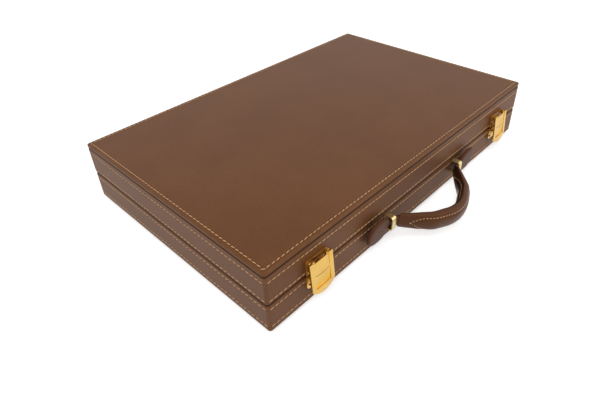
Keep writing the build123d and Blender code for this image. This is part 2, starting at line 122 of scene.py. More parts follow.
class Wiring:
    """Adds and joins the nodes of one node tree."""

    def __init__(self, tree: bpy.types.NodeTree) -> None:
        """Keeps the tree that the nodes go into."""
        self.tree = tree

    def add(self, kind: str, inputs: dict[Any, Any] | None = None, **settings: Any) -> bpy.types.Node:
        """Adds a node.

        Args:
            kind: The node's type name.
            inputs: Values or sockets for its inputs, by name or number.
            **settings: The node's own options.

        Returns:
            The new node.
        """
        node = self.tree.nodes.new(kind)
        for key, value in settings.items():
            setattr(node, key, value)
        for key, value in (inputs or {}).items():
            if isinstance(value, bpy.types.NodeSocket):
                self.join(value, node.inputs[key])
            else:
                node.inputs[key].default_value = value
        return node

    def join(self, source: Any, target: Any) -> None:
        """Links an output socket to an input socket."""
        self.tree.links.new(source, target)

    def sum(self, operation: str, *values: Any, clamp: bool = False) -> bpy.types.NodeSocket:
        """Result of a Math node.

        Args:
            operation: The Math node's operation.
            *values: Its inputs in order.
            clamp: Whether the result is kept from 0 to 1.

        Returns:
            The node's output socket.
        """
        kind = "ShaderNodeMath"
        return self.add(kind, dict(enumerate(values)), operation=operation, use_clamp=clamp).outputs[0]

    def vector(self, operation: str, *values: Any) -> bpy.types.NodeSocket:
        """Vector result of a Vector Math node."""
        return self.add("ShaderNodeVectorMath", dict(enumerate(values)), operation=operation).outputs[0]

    def split(self, vector: Any) -> Any:
        """The x, y and z sockets of a vector."""
        return self.add("ShaderNodeSeparateXYZ", {0: vector}).outputs

    def apart(self, first: Any, second: Any) -> bpy.types.NodeSocket:
        """Distance between two numbers."""
        return self.sum("ABSOLUTE", self.sum("SUBTRACT", first, second))

    def noise(self, place: Any, scale: Any, detail: float, **more: float) -> Any:
        """Noise texture.

        Args:
            place: Where it is read.
            scale: Features in a metre.
            detail: How many finer layers it has.
            **more: Its other inputs by name.

        Returns:
            The node's outputs, Fac and Color.
        """
        inputs = {"Vector": place, "Scale": scale, "Detail": detail, **more}
        return self.add("ShaderNodeTexNoise", inputs).outputs

    def fade(self, value: Any, low: Any, high: Any) -> bpy.types.NodeSocket:
        """Smooth step of a value from 0 at low to 1 at high.

        Args:
            value: Socket or number to map.
            low: Value that gives 0.
            high: Value that gives 1.

        Returns:
            Socket with the share.
        """
        inputs = {"Value": value, "From Min": low, "From Max": high}
        return self.add("ShaderNodeMapRange", inputs, interpolation_type="SMOOTHSTEP").outputs[0]

    def mix(self, share: Any, first: Any, second: Any, mode: str = "MIX") -> bpy.types.NodeSocket:
        """Colour between two colours.

        Args:
            share: Socket or number from 0, the first, to 1, the second.
            first: Colour socket, or a linear colour.
            second: Colour socket, or a linear colour.
            mode: The Mix node's blend type.

        Returns:
            Colour socket.
        """
        colours = [(*c, 1.0) if isinstance(c, tuple) and len(c) == 3 else c for c in (first, second)]
        node = self.add("ShaderNodeMix", {0: share, 6: colours[0], 7: colours[1]},
                        data_type="RGBA", blend_type=mode)
        return node.outputs[2]


def shader_group(name: str, inputs: dict[str, Any], *outputs: str) -> tuple[Wiring, Any, Any]:
    """Starts a shader node group with a Vector input and named others.

    Args:
        name: The group's name.
        inputs: Defaults of the other inputs by name.
        *outputs: Names of the outputs, which are all numbers.

    Returns:
        Wiring of the group, what it is given and what it makes.
    """
    tree = bpy.data.node_groups.new(name, "ShaderNodeTree")
    for label, default in {"Vector": (0.0, 0.0, 0.0), **inputs}.items():
        kind = "Vector" if isinstance(default, tuple) else "Float"
        socket = tree.interface.new_socket(label, in_out="INPUT", socket_type=f"NodeSocket{kind}")
        socket.default_value = default
    for label in outputs:
        tree.interface.new_socket(label, in_out="OUTPUT", socket_type="NodeSocketFloat")
    w = Wiring(tree)
    return w, w.add("NodeGroupInput").outputs, w.add("NodeGroupOutput").inputs


def leather_grain_group() -> bpy.types.NodeTree:
    """Pebbled leather grain with pores and slow tone changes.

    Returns:
        Group with outputs Height, Pebble and Tone.
    """
    warp_reach, pores_per_pebble = 0.0008, 2.3
    pebble_share, pore_share = 0.65, 0.35
    inputs = {"Pebbles Per Metre": 900.0, "Mottle Per Metre": 14.0}
    w, given, made = shader_group("Leather grain", inputs, "Height", "Pebble", "Tone")
    place, scale = given["Vector"], given["Pebbles Per Metre"]
    warp = w.vector("SUBTRACT", w.noise(place, scale, 1.0)["Color"], (0.5, 0.5, 0.5))
    moved = w.vector("ADD", place, w.vector("MULTIPLY", warp, (warp_reach,) * 3))
    cells = w.add("ShaderNodeTexVoronoi", {"Vector": moved, "Scale": scale}, feature="DISTANCE_TO_EDGE")
    pebble = w.fade(cells.outputs["Distance"], 0.0, 0.28)
    pores = w.noise(place, w.sum("MULTIPLY", scale, pores_per_pebble), 2.0)["Fac"]
    mottle = w.noise(place, given["Mottle Per Metre"], 5.0, Roughness=0.6)["Fac"]
    fine = w.sum("MULTIPLY", pores, pore_share)
    w.join(w.sum("MULTIPLY_ADD", pebble, pebble_share, fine), made["Height"])
    w.join(pebble, made["Pebble"])
    w.join(w.fade(mottle, 0.3, 0.7), made["Tone"])
    return w.tree


def edge_wear_group() -> bpy.types.NodeTree:
    """Mask along the edges of a box-shaped piece, broken up by noise.

    Returns:
        Group with the output Wear.
    """
    inputs = {"Centre": (0.0, 0.0, 0.0), "Half Size": (0.1, 0.1, 0.1), "Width": 0.003, "Breakup": 0.5,
              "Breaks Per Metre": 160.0}
    w, given, made = shader_group("Edge wear", inputs, "Wear")
    offset = w.vector("ABSOLUTE", w.vector("SUBTRACT", given["Vector"], given["Centre"]))
    inside = w.split(w.vector("SUBTRACT", offset, given["Half Size"]))
    low = w.sum("MINIMUM", inside[0], inside[1])
    high = w.sum("MAXIMUM", inside[0], inside[1])
    second = w.sum("MAXIMUM", low, w.sum("MINIMUM", high, inside[2]))
    near = w.fade(w.sum("DIVIDE", second, given["Width"]), -1.0, 0.0)
    breaks = w.noise(given["Vector"], given["Breaks Per Metre"], 4.0)["Fac"]
    broken = w.sum("MULTIPLY", w.fade(breaks, 0.35, 0.75), given["Breakup"])
    w.join(w.sum("SUBTRACT", near, broken, clamp=True), made["Wear"])
    return w.tree


def beyond_walls(w: Wiring, given: Any) -> bpy.types.NodeSocket:
    """Distance outside the rectangle of Half Length and Half Width, negative inside it."""
    place = w.split(given["Vector"])
    out_x = w.sum("SUBTRACT", w.sum("ABSOLUTE", place[0]), given["Half Length"])
    out_y = w.sum("SUBTRACT", w.sum("ABSOLUTE", place[1]), given["Half Width"])
    return w.sum("MAXIMUM", out_x, out_y)


def wall_seam_group() -> bpy.types.NodeTree:
    """Lines pressed into the case's walls under the rows of stitches.

    Returns:
        Group with the output Press.
    """
    skin_depth = 0.0006
    inputs = {**dict.fromkeys(WALL_ROWS, 0.03), "Half Length": 0.2, "Half Width": 0.1, "Width": 0.002}
    w, given, made = shader_group("Wall seams", inputs, "Press")
    height = w.split(given["Vector"])[2]
    nearest: Any = 1.0
    for row in WALL_ROWS:
        nearest = w.sum("MINIMUM", nearest, w.apart(height, given[row]))
    outside = w.sum("GREATER_THAN", beyond_walls(w, given), -skin_depth)
    press = w.fade(w.sum("DIVIDE", nearest, given["Width"]), 1.0, 0.0)
    w.join(w.sum("MULTIPLY", press, outside), made["Press"])
    return w.tree


def panel_seam_group() -> bpy.types.NodeTree:
    """Line pressed into a panel along its row of stitches.

    Returns:
        Group with the output Press.
    """
    inputs = {"Half Length": 0.2, "Half Width": 0.1, "Margin": 0.004, "Width": 0.002}
    w, given, made = shader_group("Panel seam", inputs, "Press")
    away = w.sum("ABSOLUTE", w.sum("ADD", beyond_walls(w, given), given["Margin"]))
    w.join(w.fade(w.sum("DIVIDE", away, given["Width"]), 1.0, 0.0), made["Press"])
    return w.tree


def groove_shade_group() -> bpy.types.NodeTree:
    """Painted shade along the grooves where the leather turns in at the panel joint and the parting.

    Returns:
        Group with the output Shade.
    """
    inputs = {"Panel Joint": 0.07, "Parting": 0.04, "Width": 0.0015}
    w, given, made = shader_group("Groove shade", inputs, "Shade")
    height = w.split(given["Vector"])[2]
    away = w.sum("MINIMUM", *[w.apart(height, given[line]) for line in ("Panel Joint", "Parting")])
    w.join(w.fade(w.sum("DIVIDE", away, given["Width"]), 1.0, 0.45), made["Shade"])
    return w.tree


def metal_wear_group() -> bpy.types.NodeTree:
    """Fine scratches and finger smudges on polished metal.

    Returns:
        Group with outputs Scratch and Smudge.
    """
    inputs = {"Scratches Per Metre": 900.0, "Smudges Per Metre": 60.0}
    w, given, made = shader_group("Metal wear", inputs, "Scratch", "Smudge")
    drawn = w.vector("MULTIPLY", given["Vector"], (0.12, 1.0, 1.0))
    smudges = w.noise(given["Vector"], given["Smudges Per Metre"], 3.0)["Fac"]
    w.join(w.noise(drawn, given["Scratches Per Metre"], 3.0, Roughness=0.7)["Fac"], made["Scratch"])
    w.join(w.fade(smudges, 0.4, 0.7), made["Smudge"])
    return w.tree


def recess_group() -> bpy.types.NodeTree:
    """Mask that grows with the depth of a pressed recess below a sloping face, used for painted shade in
    the recess.

    Returns:
        Group with the output Depth Share.
    """
    deepest = 1.3
    inputs = {"Origin": (0.0, 0.0, 0.0), "Inward": (0.0, 1.0, 0.0), "Half Width": 0.01,
              "Start": 0.0004, "Full": 0.0013}
    w, given, made = shader_group("Recess", inputs, "Depth Share")
    offset = w.vector("SUBTRACT", given["Vector"], given["Origin"])
    depth = w.add("ShaderNodeVectorMath", {0: offset, 1: given["Inward"]},
                  operation="DOT_PRODUCT").outputs["Value"]
    inside = w.sum("LESS_THAN", w.sum("ABSOLUTE", w.split(offset)[0]), given["Half Width"])
    shallow = w.sum("LESS_THAN", depth, w.sum("MULTIPLY", given["Full"], deepest))
    share = w.fade(depth, given["Start"], given["Full"])
    w.join(w.sum("MULTIPLY", w.sum("MULTIPLY", share, inside), shallow), made["Depth Share"])
    return w.tree


def fibre_group() -> bpy.types.NodeTree:
    """Short matted fibres of felt.

    Returns:
        Group with outputs Height and Tone.
    """
    inputs = {"Fibres Per Metre": 700.0, "Clouds Per Metre": 30.0}
    w, given, made = shader_group("Felt fibres", inputs, "Height", "Tone")
    total: Any = 0.0
    for stretch in ((1.0, 0.25, 1.0), (0.25, 1.0, 1.0)):
        turned = w.vector("MULTIPLY", given["Vector"], stretch)
        strands = w.noise(turned, given["Fibres Per Metre"], 3.0, Distortion=1.2)["Fac"]
        total = w.sum("ADD", total, w.sum("MULTIPLY", strands, 0.5))
    clouds = w.noise(given["Vector"], given["Clouds Per Metre"], 3.0)["Fac"]
    w.join(total, made["Height"])
    w.join(w.fade(clouds, 0.3, 0.7), made["Tone"])
    return w.tree


def wood_grain_group() -> bpy.types.NodeTree:
    """Long grain lines of planed board.

    Returns:
        Group with the output Grain.
    """
    w, given, made = shader_group("Wood grain", {"Rings Per Metre": 90.0}, "Grain")
    drawn = w.vector("MULTIPLY", given["Vector"], (0.08, 1.0, 1.0))
    rings = w.add("ShaderNodeTexWave", {
        "Vector": drawn, "Scale": given["Rings Per Metre"], "Distortion": 6.0, "Detail": 3.0,
        "Detail Scale": 2.0}, bands_direction="Y")
    w.join(rings.outputs["Fac"], made["Grain"])
    return w.tree


class Groups:
    """The shader node groups that the finishes share, each built once."""

    _makers = {
        "grain": leather_grain_group, "edge": edge_wear_group, "wall": wall_seam_group,
        "panel": panel_seam_group, "groove": groove_shade_group, "metal": metal_wear_group,
        "recess": recess_group, "fibre": fibre_group, "wood": wood_grain_group,
    }
    _built: dict[str, bpy.types.NodeTree] = {}

    @classmethod
    def place(cls, w: Wiring, key: str, vector: Any, inputs: dict[str, Any] | None = None) -> Any:
        """Places a group in a material.

        Args:
            w: Wiring of the material.
            key: Short name of the group.
            vector: Object coordinates.
            inputs: Its other values by socket name.

        Returns:
            The outputs of the placed group.
        """
        if key not in cls._built:
            cls._built[key] = cls._makers[key]()
        return w.add("ShaderNodeGroup", {"Vector": vector, **(inputs or {})},
                     node_tree=cls._built[key]).outputs


def new_material(name: str) -> tuple[bpy.types.Material, Wiring, bpy.types.Node, bpy.types.NodeSocket]:
    """Starts a material.

    Args:
        name: The material's name.

    Returns:
        The material, its wiring, its shader, and its object coordinates.
    """
    material = bpy.data.materials.new(name)
    material.use_nodes = True
    w = Wiring(material.node_tree)
    shader = material.node_tree.nodes["Principled BSDF"]
    return material, w, shader, w.add("ShaderNodeTexCoord").outputs["Object"]


def coat(w: Wiring, shader: bpy.types.Node, colour: Any, rough: Any, height: Any, depth: float) -> None:
    """Joins a colour, a roughness and a bump to the shader.

    Args:
        w: Wiring of the material.
        shader: The material's shader.
        colour: Base colour.
        rough: Roughness.
        height: Height from 0 to 1.
        depth: Real depth of a full step, in metres.
    """
    bump = w.add("ShaderNodeBump", {"Height": height, "Strength": 1.0, "Distance": depth})
    w.join(colour, shader.inputs["Base Color"])
    w.join(rough, shader.inputs["Roughness"])
    w.join(bump.outputs["Normal"], shader.inputs["Normal"])


class Seams(Enum):
    """Which stitched seams a leather piece carries."""

    NONE = 0
    WALL = 1
    PANEL = 2


@dataclass(frozen=True)
class Finish:
    """Surface whose colour lies between two tones."""

    name: str
    deep: Rgb
    light: Rgb


@dataclass(frozen=True)
class LeatherFinish(Finish):
    """Smooth cowhide with a fine pebble."""

    worn: Rgb
    pebbles: float = 950.0
    pebble_depth: float = 0.00010
    roughness: float = 0.44
    shine: float = 0.3
    shine_tint: Rgb = (1.0, 0.66, 0.30)
    seams: Seams = Seams.NONE
    box: tuple[Point, Point] | None = None
    valley_shade: float = 0.22
    tone_roughness: float = 0.02
    wear_width: float = 0.0022
    wear_breakup: float = 0.55
    wear_share: float = 0.3
    wear_polish: float = -0.08
    press_shade: float = 0.45
    groove_shade: float = 0.8

    def build(self, case: "CaseSizes") -> bpy.types.Material:
        """Makes the material.

        Args:
            case: Sizes of the case, for the pressed seams.

        Returns:
            The material.
        """
        material, w, shader, place = new_material(self.name)
        grain = Groups.place(w, "grain", place, {"Pebbles Per Metre": self.pebbles})
        colour = w.mix(grain["Tone"], self.deep, self.light)
        valley = w.sum("MULTIPLY", w.sum("SUBTRACT", 1.0, grain["Pebble"]), self.valley_shade)
        colour = w.mix(valley, colour, self.deep, "MULTIPLY")
        rough = w.sum("MULTIPLY_ADD", grain["Tone"], self.tone_roughness, self.roughness)
        height = w.sum("MULTIPLY", grain["Height"], self.pebble_depth / case.press_depth)
        if self.box:
            centre, half = self.box
            worn = Groups.place(w, "edge", place, {
                "Centre": centre, "Half Size": half, "Width": self.wear_width,
                "Breakup": self.wear_breakup})["Wear"]
            colour = w.mix(w.sum("MULTIPLY", worn, self.wear_share), colour, self.worn)
            rough = w.sum("MULTIPLY_ADD", worn, self.wear_polish, rough)
        if self.seams is not Seams.NONE:
            press = self.seam_mask(w, place, case)
            colour = w.mix(w.sum("MULTIPLY", press, self.press_shade), colour, self.deep, "MULTIPLY")
            height = w.sum("SUBTRACT", height, press)
            # Painted shade: the grooves at the panel joint and the parting are darkened towards a
            # near-black colour.
            shade = Groups.place(w, "groove", place, {
                "Panel Joint": case.panel_joint, "Parting": case.parting})["Shade"]
            colour = w.mix(w.sum("MULTIPLY", shade, self.groove_shade), colour, case.groove_colour)
        shader.inputs["Specular IOR Level"].default_value = self.shine
        shader.inputs["Specular Tint"].default_value = (*self.shine_tint, 1.0)
        coat(w, shader, colour, rough, height, case.press_depth)
        return material

    def seam_mask(self, w: Wiring, place: Any, case: "CaseSizes") -> Any:
        """Mask of the pressed lines.

        Args:
            w: Wiring of the material.
            place: Object coordinates.
            case: Sizes of the case.

        Returns:
            Socket, 1 in the middle of a pressed line.
        """
        size = {"Half Length": case.length / 2, "Half Width": case.width / 2, "Width": case.press_width}
        if self.seams is Seams.PANEL:
            return Groups.place(w, "panel", place, {**size, "Margin": case.panel_margin})["Press"]
        return Groups.place(w, "wall", place, {**size, **dict(zip(WALL_ROWS, case.wall_rows))})["Press"]


@dataclass(frozen=True)
class MetalFinish:
    """Polished or satin metal with light wear, and painted shade in a recess where one is given."""

    name: str
    colour: Rgb
    dull: Rgb
    roughness: float = 0.2
    scratch_depth: float = 0.00002
    recess: dict[str, Any] | None = None
    recess_colour: Rgb = (0.70, 0.43, 0.07)
    recess_share: float = 0.85
    smudge_share: float = 0.35
    smudge_roughness: float = 0.08
    scratch_roughness: float = 0.06

    def build(self) -> bpy.types.Material:
        """Makes the material."""
        material, w, shader, place = new_material(self.name)
        wear = Groups.place(w, "metal", place)
        colour = w.mix(w.sum("MULTIPLY", wear["Smudge"], self.smudge_share), self.colour, self.dull)
        # Painted shade and reflection: a darker orange tint that deepens down the lever's finger recess.
        if self.recess:
            share = Groups.place(w, "recess", place, self.recess)["Depth Share"]
            colour = w.mix(w.sum("MULTIPLY", share, self.recess_share), colour, self.recess_colour)
        rough = w.sum("MULTIPLY_ADD", wear["Smudge"], self.smudge_roughness, self.roughness)
        rough = w.sum("MULTIPLY_ADD", wear["Scratch"], self.scratch_roughness, rough)
        shader.inputs["Metallic"].default_value = 1.0
        coat(w, shader, colour, rough, wear["Scratch"], self.scratch_depth)
        return material


@dataclass(frozen=True)
class FeltFinish(Finish):
    """Dense wool felt."""

    fibre_share: float = 0.8
    cloud_share: float = 0.25
    roughness: float = 0.85
    fibre_roughness: float = 0.1
    shine: float = 0.15
    sheen: float = 0.3
    pile_depth: float = 0.0004

    def build(self) -> bpy.types.Material:
        """Makes the material."""
        material, w, shader, place = new_material(self.name)
        fibres = Groups.place(w, "fibre", place)
        clouds = w.sum("MULTIPLY", fibres["Tone"], self.cloud_share)
        share = w.sum("MULTIPLY_ADD", fibres["Height"], self.fibre_share, clouds)
        rough = w.sum("MULTIPLY_ADD", fibres["Height"], self.fibre_roughness, self.roughness)
        shader.inputs["Specular IOR Level"].default_value = self.shine
        shader.inputs["Sheen Weight"].default_value = self.sheen
        coat(w, shader, w.mix(share, self.deep, self.light), rough, fibres["Height"], self.pile_depth)
        return material


@dataclass(frozen=True)
class WoodFinish(Finish):
    """Planed pale board."""

    roughness: float = 0.6
    grain_roughness: float = 0.1
    grain_depth: float = 0.0001

    def build(self) -> bpy.types.Material:
        """Makes the material."""
        material, w, shader, place = new_material(self.name)
        grain = Groups.place(w, "wood", place)["Grain"]
        rough = w.sum("MULTIPLY_ADD", grain, self.grain_roughness, self.roughness)
        coat(w, shader, w.mix(grain, self.deep, self.light), rough, grain, self.grain_depth)
        return material


@dataclass(frozen=True)
class ResinFinish(Finish):
    """Cast resin with faint clouds, for checkers, dice and the cube."""

    roughness: float = 0.22
    clouds_per_metre: float = 45.0
    specks_per_metre: float = 900.0
    speck_roughness: float = 0.08
    speck_depth: float = 0.00002

    def build(self) -> bpy.types.Material:
        """Makes the material."""
        material, w, shader, place = new_material(self.name)
        clouds = w.noise(place, self.clouds_per_metre, 6.0, Distortion=1.5)["Fac"]
        specks = w.noise(place, self.specks_per_metre, 2.0)["Fac"]
        colour = w.mix(w.fade(clouds, 0.3, 0.7), self.deep, self.light)
        rough = w.sum("MULTIPLY_ADD", specks, self.speck_roughness, self.roughness)
        coat(w, shader, colour, rough, specks, self.speck_depth)
        return material


@dataclass(frozen=True)
class ThreadFinish(Finish):
    """Waxed linen thread, twisted."""

    twists_per_metre: float = 420.0
    tones_per_metre: float = 120.0
    roughness: float = 0.55
    twist_roughness: float = 0.1
    twist_depth: float = 0.00015

    def build(self) -> bpy.types.Material:
        """Makes the material."""
        material, w, shader, place = new_material(self.name)
        slanted = w.vector("MULTIPLY", place, (1.0, 1.0, 1.6))
        twist = w.add("ShaderNodeTexWave", {
            "Vector": slanted, "Scale": self.twists_per_metre, "Distortion": 1.0},
            bands_direction="DIAGONAL").outputs["Fac"]
        tone = w.noise(place, self.tones_per_metre, 2.0)["Fac"]
        share = w.sum("MULTIPLY_ADD", twist, 0.5, w.sum("MULTIPLY", tone, 0.5))
        rough = w.sum("MULTIPLY_ADD", twist, self.twist_roughness, self.roughness)
        coat(w, shader, w.mix(share, self.deep, self.light), rough, twist, self.twist_depth)
        return material


@dataclass
class CaseSizes:
    """Sizes of the case that the looks need, in metres, measured on the frame."""

    length: float
    width: float
    height: float
    parting: float
    panel_joint: float
    wall_rows: tuple[float, float, float, float] = (0.0635, 0.0420, 0.0322, 0.0111)
    panel_margin: float = 0.0042
    # Near-black colour of the painted shade in the grooves.
    groove_colour: Rgb = (0.012, 0.004, 0.003)
    press_width: float = 0.0012
    press_depth: float = 0.0003

    @classmethod
    def measured(cls) -> "CaseSizes":
        """Reads the sizes from the loaded frame."""
        low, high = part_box("lid_top_panel")
        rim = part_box("lid_wall_leather")[0].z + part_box("base_wall_leather")[1].z
        return cls(length=high.x - low.x, width=high.y - low.y, height=high.z, parting=rim / 2,
                   panel_joint=low.z)


def in_scene(name: str, data: Any) -> bpy.types.Object:
    """New object with the given data, in the scene."""
    made = bpy.data.objects.new(name, data)
    bpy.context.scene.collection.objects.link(made)
    return made


def mesh_object(name: str, points: list[Point], faces: list[Face],
                material: bpy.types.Material, crease: float = 180.0) -> bpy.types.Object:
    """Makes a mesh object with smooth faces.

    Args:
        name: The object's name.
        points: Places of the corners, in metres.
        faces: Corner numbers of each face, outward.
        material: Its material.
        crease: Angle in degrees above which an edge stays sharp.

    Returns:
        The object, in the scene.
    """
    mesh = bpy.data.meshes.new(name)
    mesh.from_pydata(points, [], faces)
    mesh.materials.append(material)
    mesh.polygons.foreach_set("use_smooth", [True] * len(mesh.polygons))
    mesh.set_sharp_from_angle(angle=math.radians(crease))
    mesh.update()
    return in_scene(name, mesh)


def skin(rings: list[Ring], first: int) -> list[Face]:
    """Faces of a tube with capped ends.

    Args:
        rings: Rings along the tube, each with its corners in the same order.
        first: Number of the first corner.

    Returns:
        Corner numbers of each face.
    """
    count = len(rings[0])
    starts = [first + row * count for row in range(len(rings))]
    faces: list[Face] = []
    for a, b in zip(starts, starts[1:]):
        for i in range(count):
            j = (i + 1) % count
            faces.append((a + i, a + j, b + j, b + i))
    faces.append(tuple(range(first, first + count))[::-1])
    faces.append(tuple(range(starts[-1], starts[-1] + count)))
    return faces


def tube_object(name: str, tubes: list[list[Ring]], material: bpy.types.Material,
                crease: float) -> bpy.types.Object:
    """Makes an object of closed tubes, with doubled corners merged and every face outward.

    Args:
        name: The object's name.
        tubes: The rings of each tube.
        material: Its material.
        crease: Angle in degrees above which an edge stays sharp.

    Returns:
        The object, in the scene.
    """
    same_place = 1e-6
    points: list[Point] = []
    faces: list[Face] = []
    for rings in tubes:
        faces += skin(rings, len(points))
        points += [point for ring in rings for point in ring]
    made = mesh_object(name, points, faces, material, crease)
    work = bmesh.new()
    work.from_mesh(made.data)
    bmesh.ops.remove_doubles(work, verts=work.verts, dist=same_place)
    bmesh.ops.recalc_face_normals(work, faces=work.faces)
    work.to_mesh(made.data)
    work.free()
    return made


def spoke(step: int, steps: int) -> tuple[float, float]:
    """Cosine and sine of one of several equal turns round a circle."""
    angle = 2 * math.pi * step / steps
    return math.cos(angle), math.sin(angle)


def fuller(value: float, power: float) -> float:
    """Cosine or sine raised to a power, which fills out a round section."""
    return math.copysign(abs(value) ** power, value)


def settle(made: bpy.types.Object) -> None:
    """Turns an object with live modifiers into a plain mesh.

    Args:
        made: The object, which gets the finished mesh in place of its own.
    """
    graph = bpy.context.evaluated_depsgraph_get()
    finished = bpy.data.meshes.new_from_object(made.evaluated_get(graph), depsgraph=graph)
    made.modifiers.clear()
    made.data = finished


@dataclass
class StitchRows:
    """Rows of saddle stitches laid along paths by one Geometry Nodes tree."""

    thread: bpy.types.Material
    pitch: float = 0.0053
    stitch_length: float = 0.0047
    thread_width: float = 0.00080
    rise: float = 0.00034
    slant: float = math.radians(6)
    wobble: float = 0.04
    seed: int = 4

    def tree(self) -> bpy.types.NodeTree:
        """Builds the stitch tree, or returns the one that is there.

        Returns:
            Tree with named inputs for every size of a stitch.
        """
        name = "Stitches along a path"
        if name in bpy.data.node_groups:
            return bpy.data.node_groups[name]
        tree = bpy.data.node_groups.new(name, "GeometryNodeTree")
        tree.interface.new_socket("Path", in_out="INPUT", socket_type="NodeSocketGeometry")
        for label in ("Pitch", "Stitch Length", "Thread Width", "Rise", "Slant"):
            tree.interface.new_socket(label, in_out="INPUT", socket_type="NodeSocketFloat")
        tree.interface.new_socket("Seed", in_out="INPUT", socket_type="NodeSocketInt")
        tree.interface.new_socket("Thread", in_out="INPUT", socket_type="NodeSocketMaterial")
        tree.interface.new_socket("Stitches", in_out="OUTPUT", socket_type="NodeSocketGeometry")
        w = Wiring(tree)
        given = w.add("NodeGroupInput").outputs
        line = w.add("GeometryNodeMeshToCurve", {0: given["Path"]})
        spaced = w.add("GeometryNodeResampleCurve", {"Curve": line.outputs[0], "Length": given["Pitch"]},
                       mode="LENGTH")
        outward = w.add("GeometryNodeInputNamedAttribute", {"Name": "outward"}, data_type="FLOAT_VECTOR")
        tangent = w.add("GeometryNodeInputTangent")
        turn = w.add("FunctionNodeAxesToRotation", {0: tangent.outputs[0], 1: outward.outputs[0]},
                     primary_axis="X", secondary_axis="Z")
        wobble = w.add("FunctionNodeRandomValue", {
            "Min": -self.wobble, "Max": self.wobble, "Seed": given["Seed"]}, data_type="FLOAT")
        lean = w.sum("ADD", given["Slant"], wobble.outputs[1])
        tilt = w.add("ShaderNodeCombineXYZ", {2: lean}).outputs[0]
        local = w.add("FunctionNodeEulerToRotation", {0: tilt})
        leaning = w.add("FunctionNodeRotateRotation", {0: turn.outputs[0], 1: local.outputs[0]},
                        rotation_space="LOCAL")
        bead = w.add("GeometryNodeMeshUVSphere", {"Segments": 8, "Rings": 6, "Radius": 0.5})
        size = w.add("ShaderNodeCombineXYZ", {0: given["Stitch Length"], 1: given["Thread Width"],
                                              2: w.sum("MULTIPLY", given["Rise"], 2.0)}).outputs[0]
        placed = w.add("GeometryNodeInstanceOnPoints", {
            "Points": spaced.outputs[0], "Instance": bead.outputs[0], "Rotation": leaning.outputs[0],
            "Scale": size})
        smooth = w.add("GeometryNodeSetShadeSmooth", {0: placed.outputs[0]})
        real = w.add("GeometryNodeRealizeInstances", {0: smooth.outputs[0]})
        dressed = w.add("GeometryNodeSetMaterial", {"Geometry": real.outputs[0],
                                                    "Material": given["Thread"]})
        w.add("NodeGroupOutput", {0: dressed.outputs[0]})
        return tree

    def sew(self, name: str, rows: list[Row], body: str) -> None:
        """Sews several rows that ride on one body.

        Args:
            name: Name of the piece.
            rows: Points, outward directions, and whether the row is a closed loop.
            body: CAD body that carries the leather.
        """
        points: list[Vector] = []
        outward: list[Vector] = []
        edges: list[tuple[int, int]] = []
        for row, normals, closed in rows:
            first = len(points)
            points += row
            outward += normals
            edges += [(first + i, first + i + 1) for i in range(len(row) - 1)]
            if closed:
                edges.append((first + len(row) - 1, first))
        mesh = bpy.data.meshes.new(name)
        mesh.from_pydata(points, edges, [])
        normal = mesh.attributes.new("outward", "FLOAT_VECTOR", "POINT")
        normal.data.foreach_set("vector", np.array([tuple(n) for n in outward], np.float32).ravel())
        made = in_scene(name, mesh)
        tree = self.tree()
        modifier = made.modifiers.new("stitches", "NODES")
        modifier.node_group = tree
        values = {"Pitch": self.pitch, "Stitch Length": self.stitch_length,
                  "Thread Width": self.thread_width, "Rise": self.rise, "Slant": self.slant,
                  "Seed": self.seed, "Thread": self.thread}
        for item in tree.interface.items_tree:
            if item.name in values and item.in_out == "INPUT":
                modifier[item.identifier] = values[item.name]
        settle(made)
        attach(made, body)
        log.info("%s: %d faces", name, len(made.data.polygons))


def rounded_loop(half_x: float, half_y: float, radius: float, z: float, facing: Facing) -> Row:
    """Closed path round a rectangle with rounded corners.

    Args:
        half_x: Half its length.
        half_y: Half its width.
        radius: Corner radius.
        z: Height.
        facing: Which way the stitches look.

    Returns:
        Points, outward directions, and True for closed.
    """
    points, normals = [], []
    steps = 8
    for corner, (sx, sy) in enumerate(((1, 1), (-1, 1), (-1, -1), (1, -1))):
        for step in range(steps + 1):
            angle = math.radians(90 * (corner + step / steps))
            out = Vector((math.cos(angle), math.sin(angle), 0))
            points.append(Vector((sx * (half_x - radius), sy * (half_y - radius), z)) + out * radius)
            normals.append(Vector((0, 0, facing.value)))
    return points, normals, True


def wall_rows(half_x: float, half_y: float, corner: float, z: float) -> list[Row]:
    """Straight rows of stitches on the four walls at one height.

    Args:
        half_x: Half the case's length.
        half_y: Half the case's width.
        corner: How far from each corner a row ends.
        z: Height.

    Returns:
        Points, outward directions, and False for open, for each wall.
    """
    rows = []
    for sign in (1, -1):
        long = [Vector((end * sign * (half_x - corner), -sign * half_y, z)) for end in (-1, 1)]
        short = [Vector((sign * half_x, end * sign * (half_y - corner), z)) for end in (-1, 1)]
        rows.append((long, [Vector((0, -sign, 0))] * 2, False))
        rows.append((short, [Vector((sign, 0, 0))] * 2, False))
    return rows


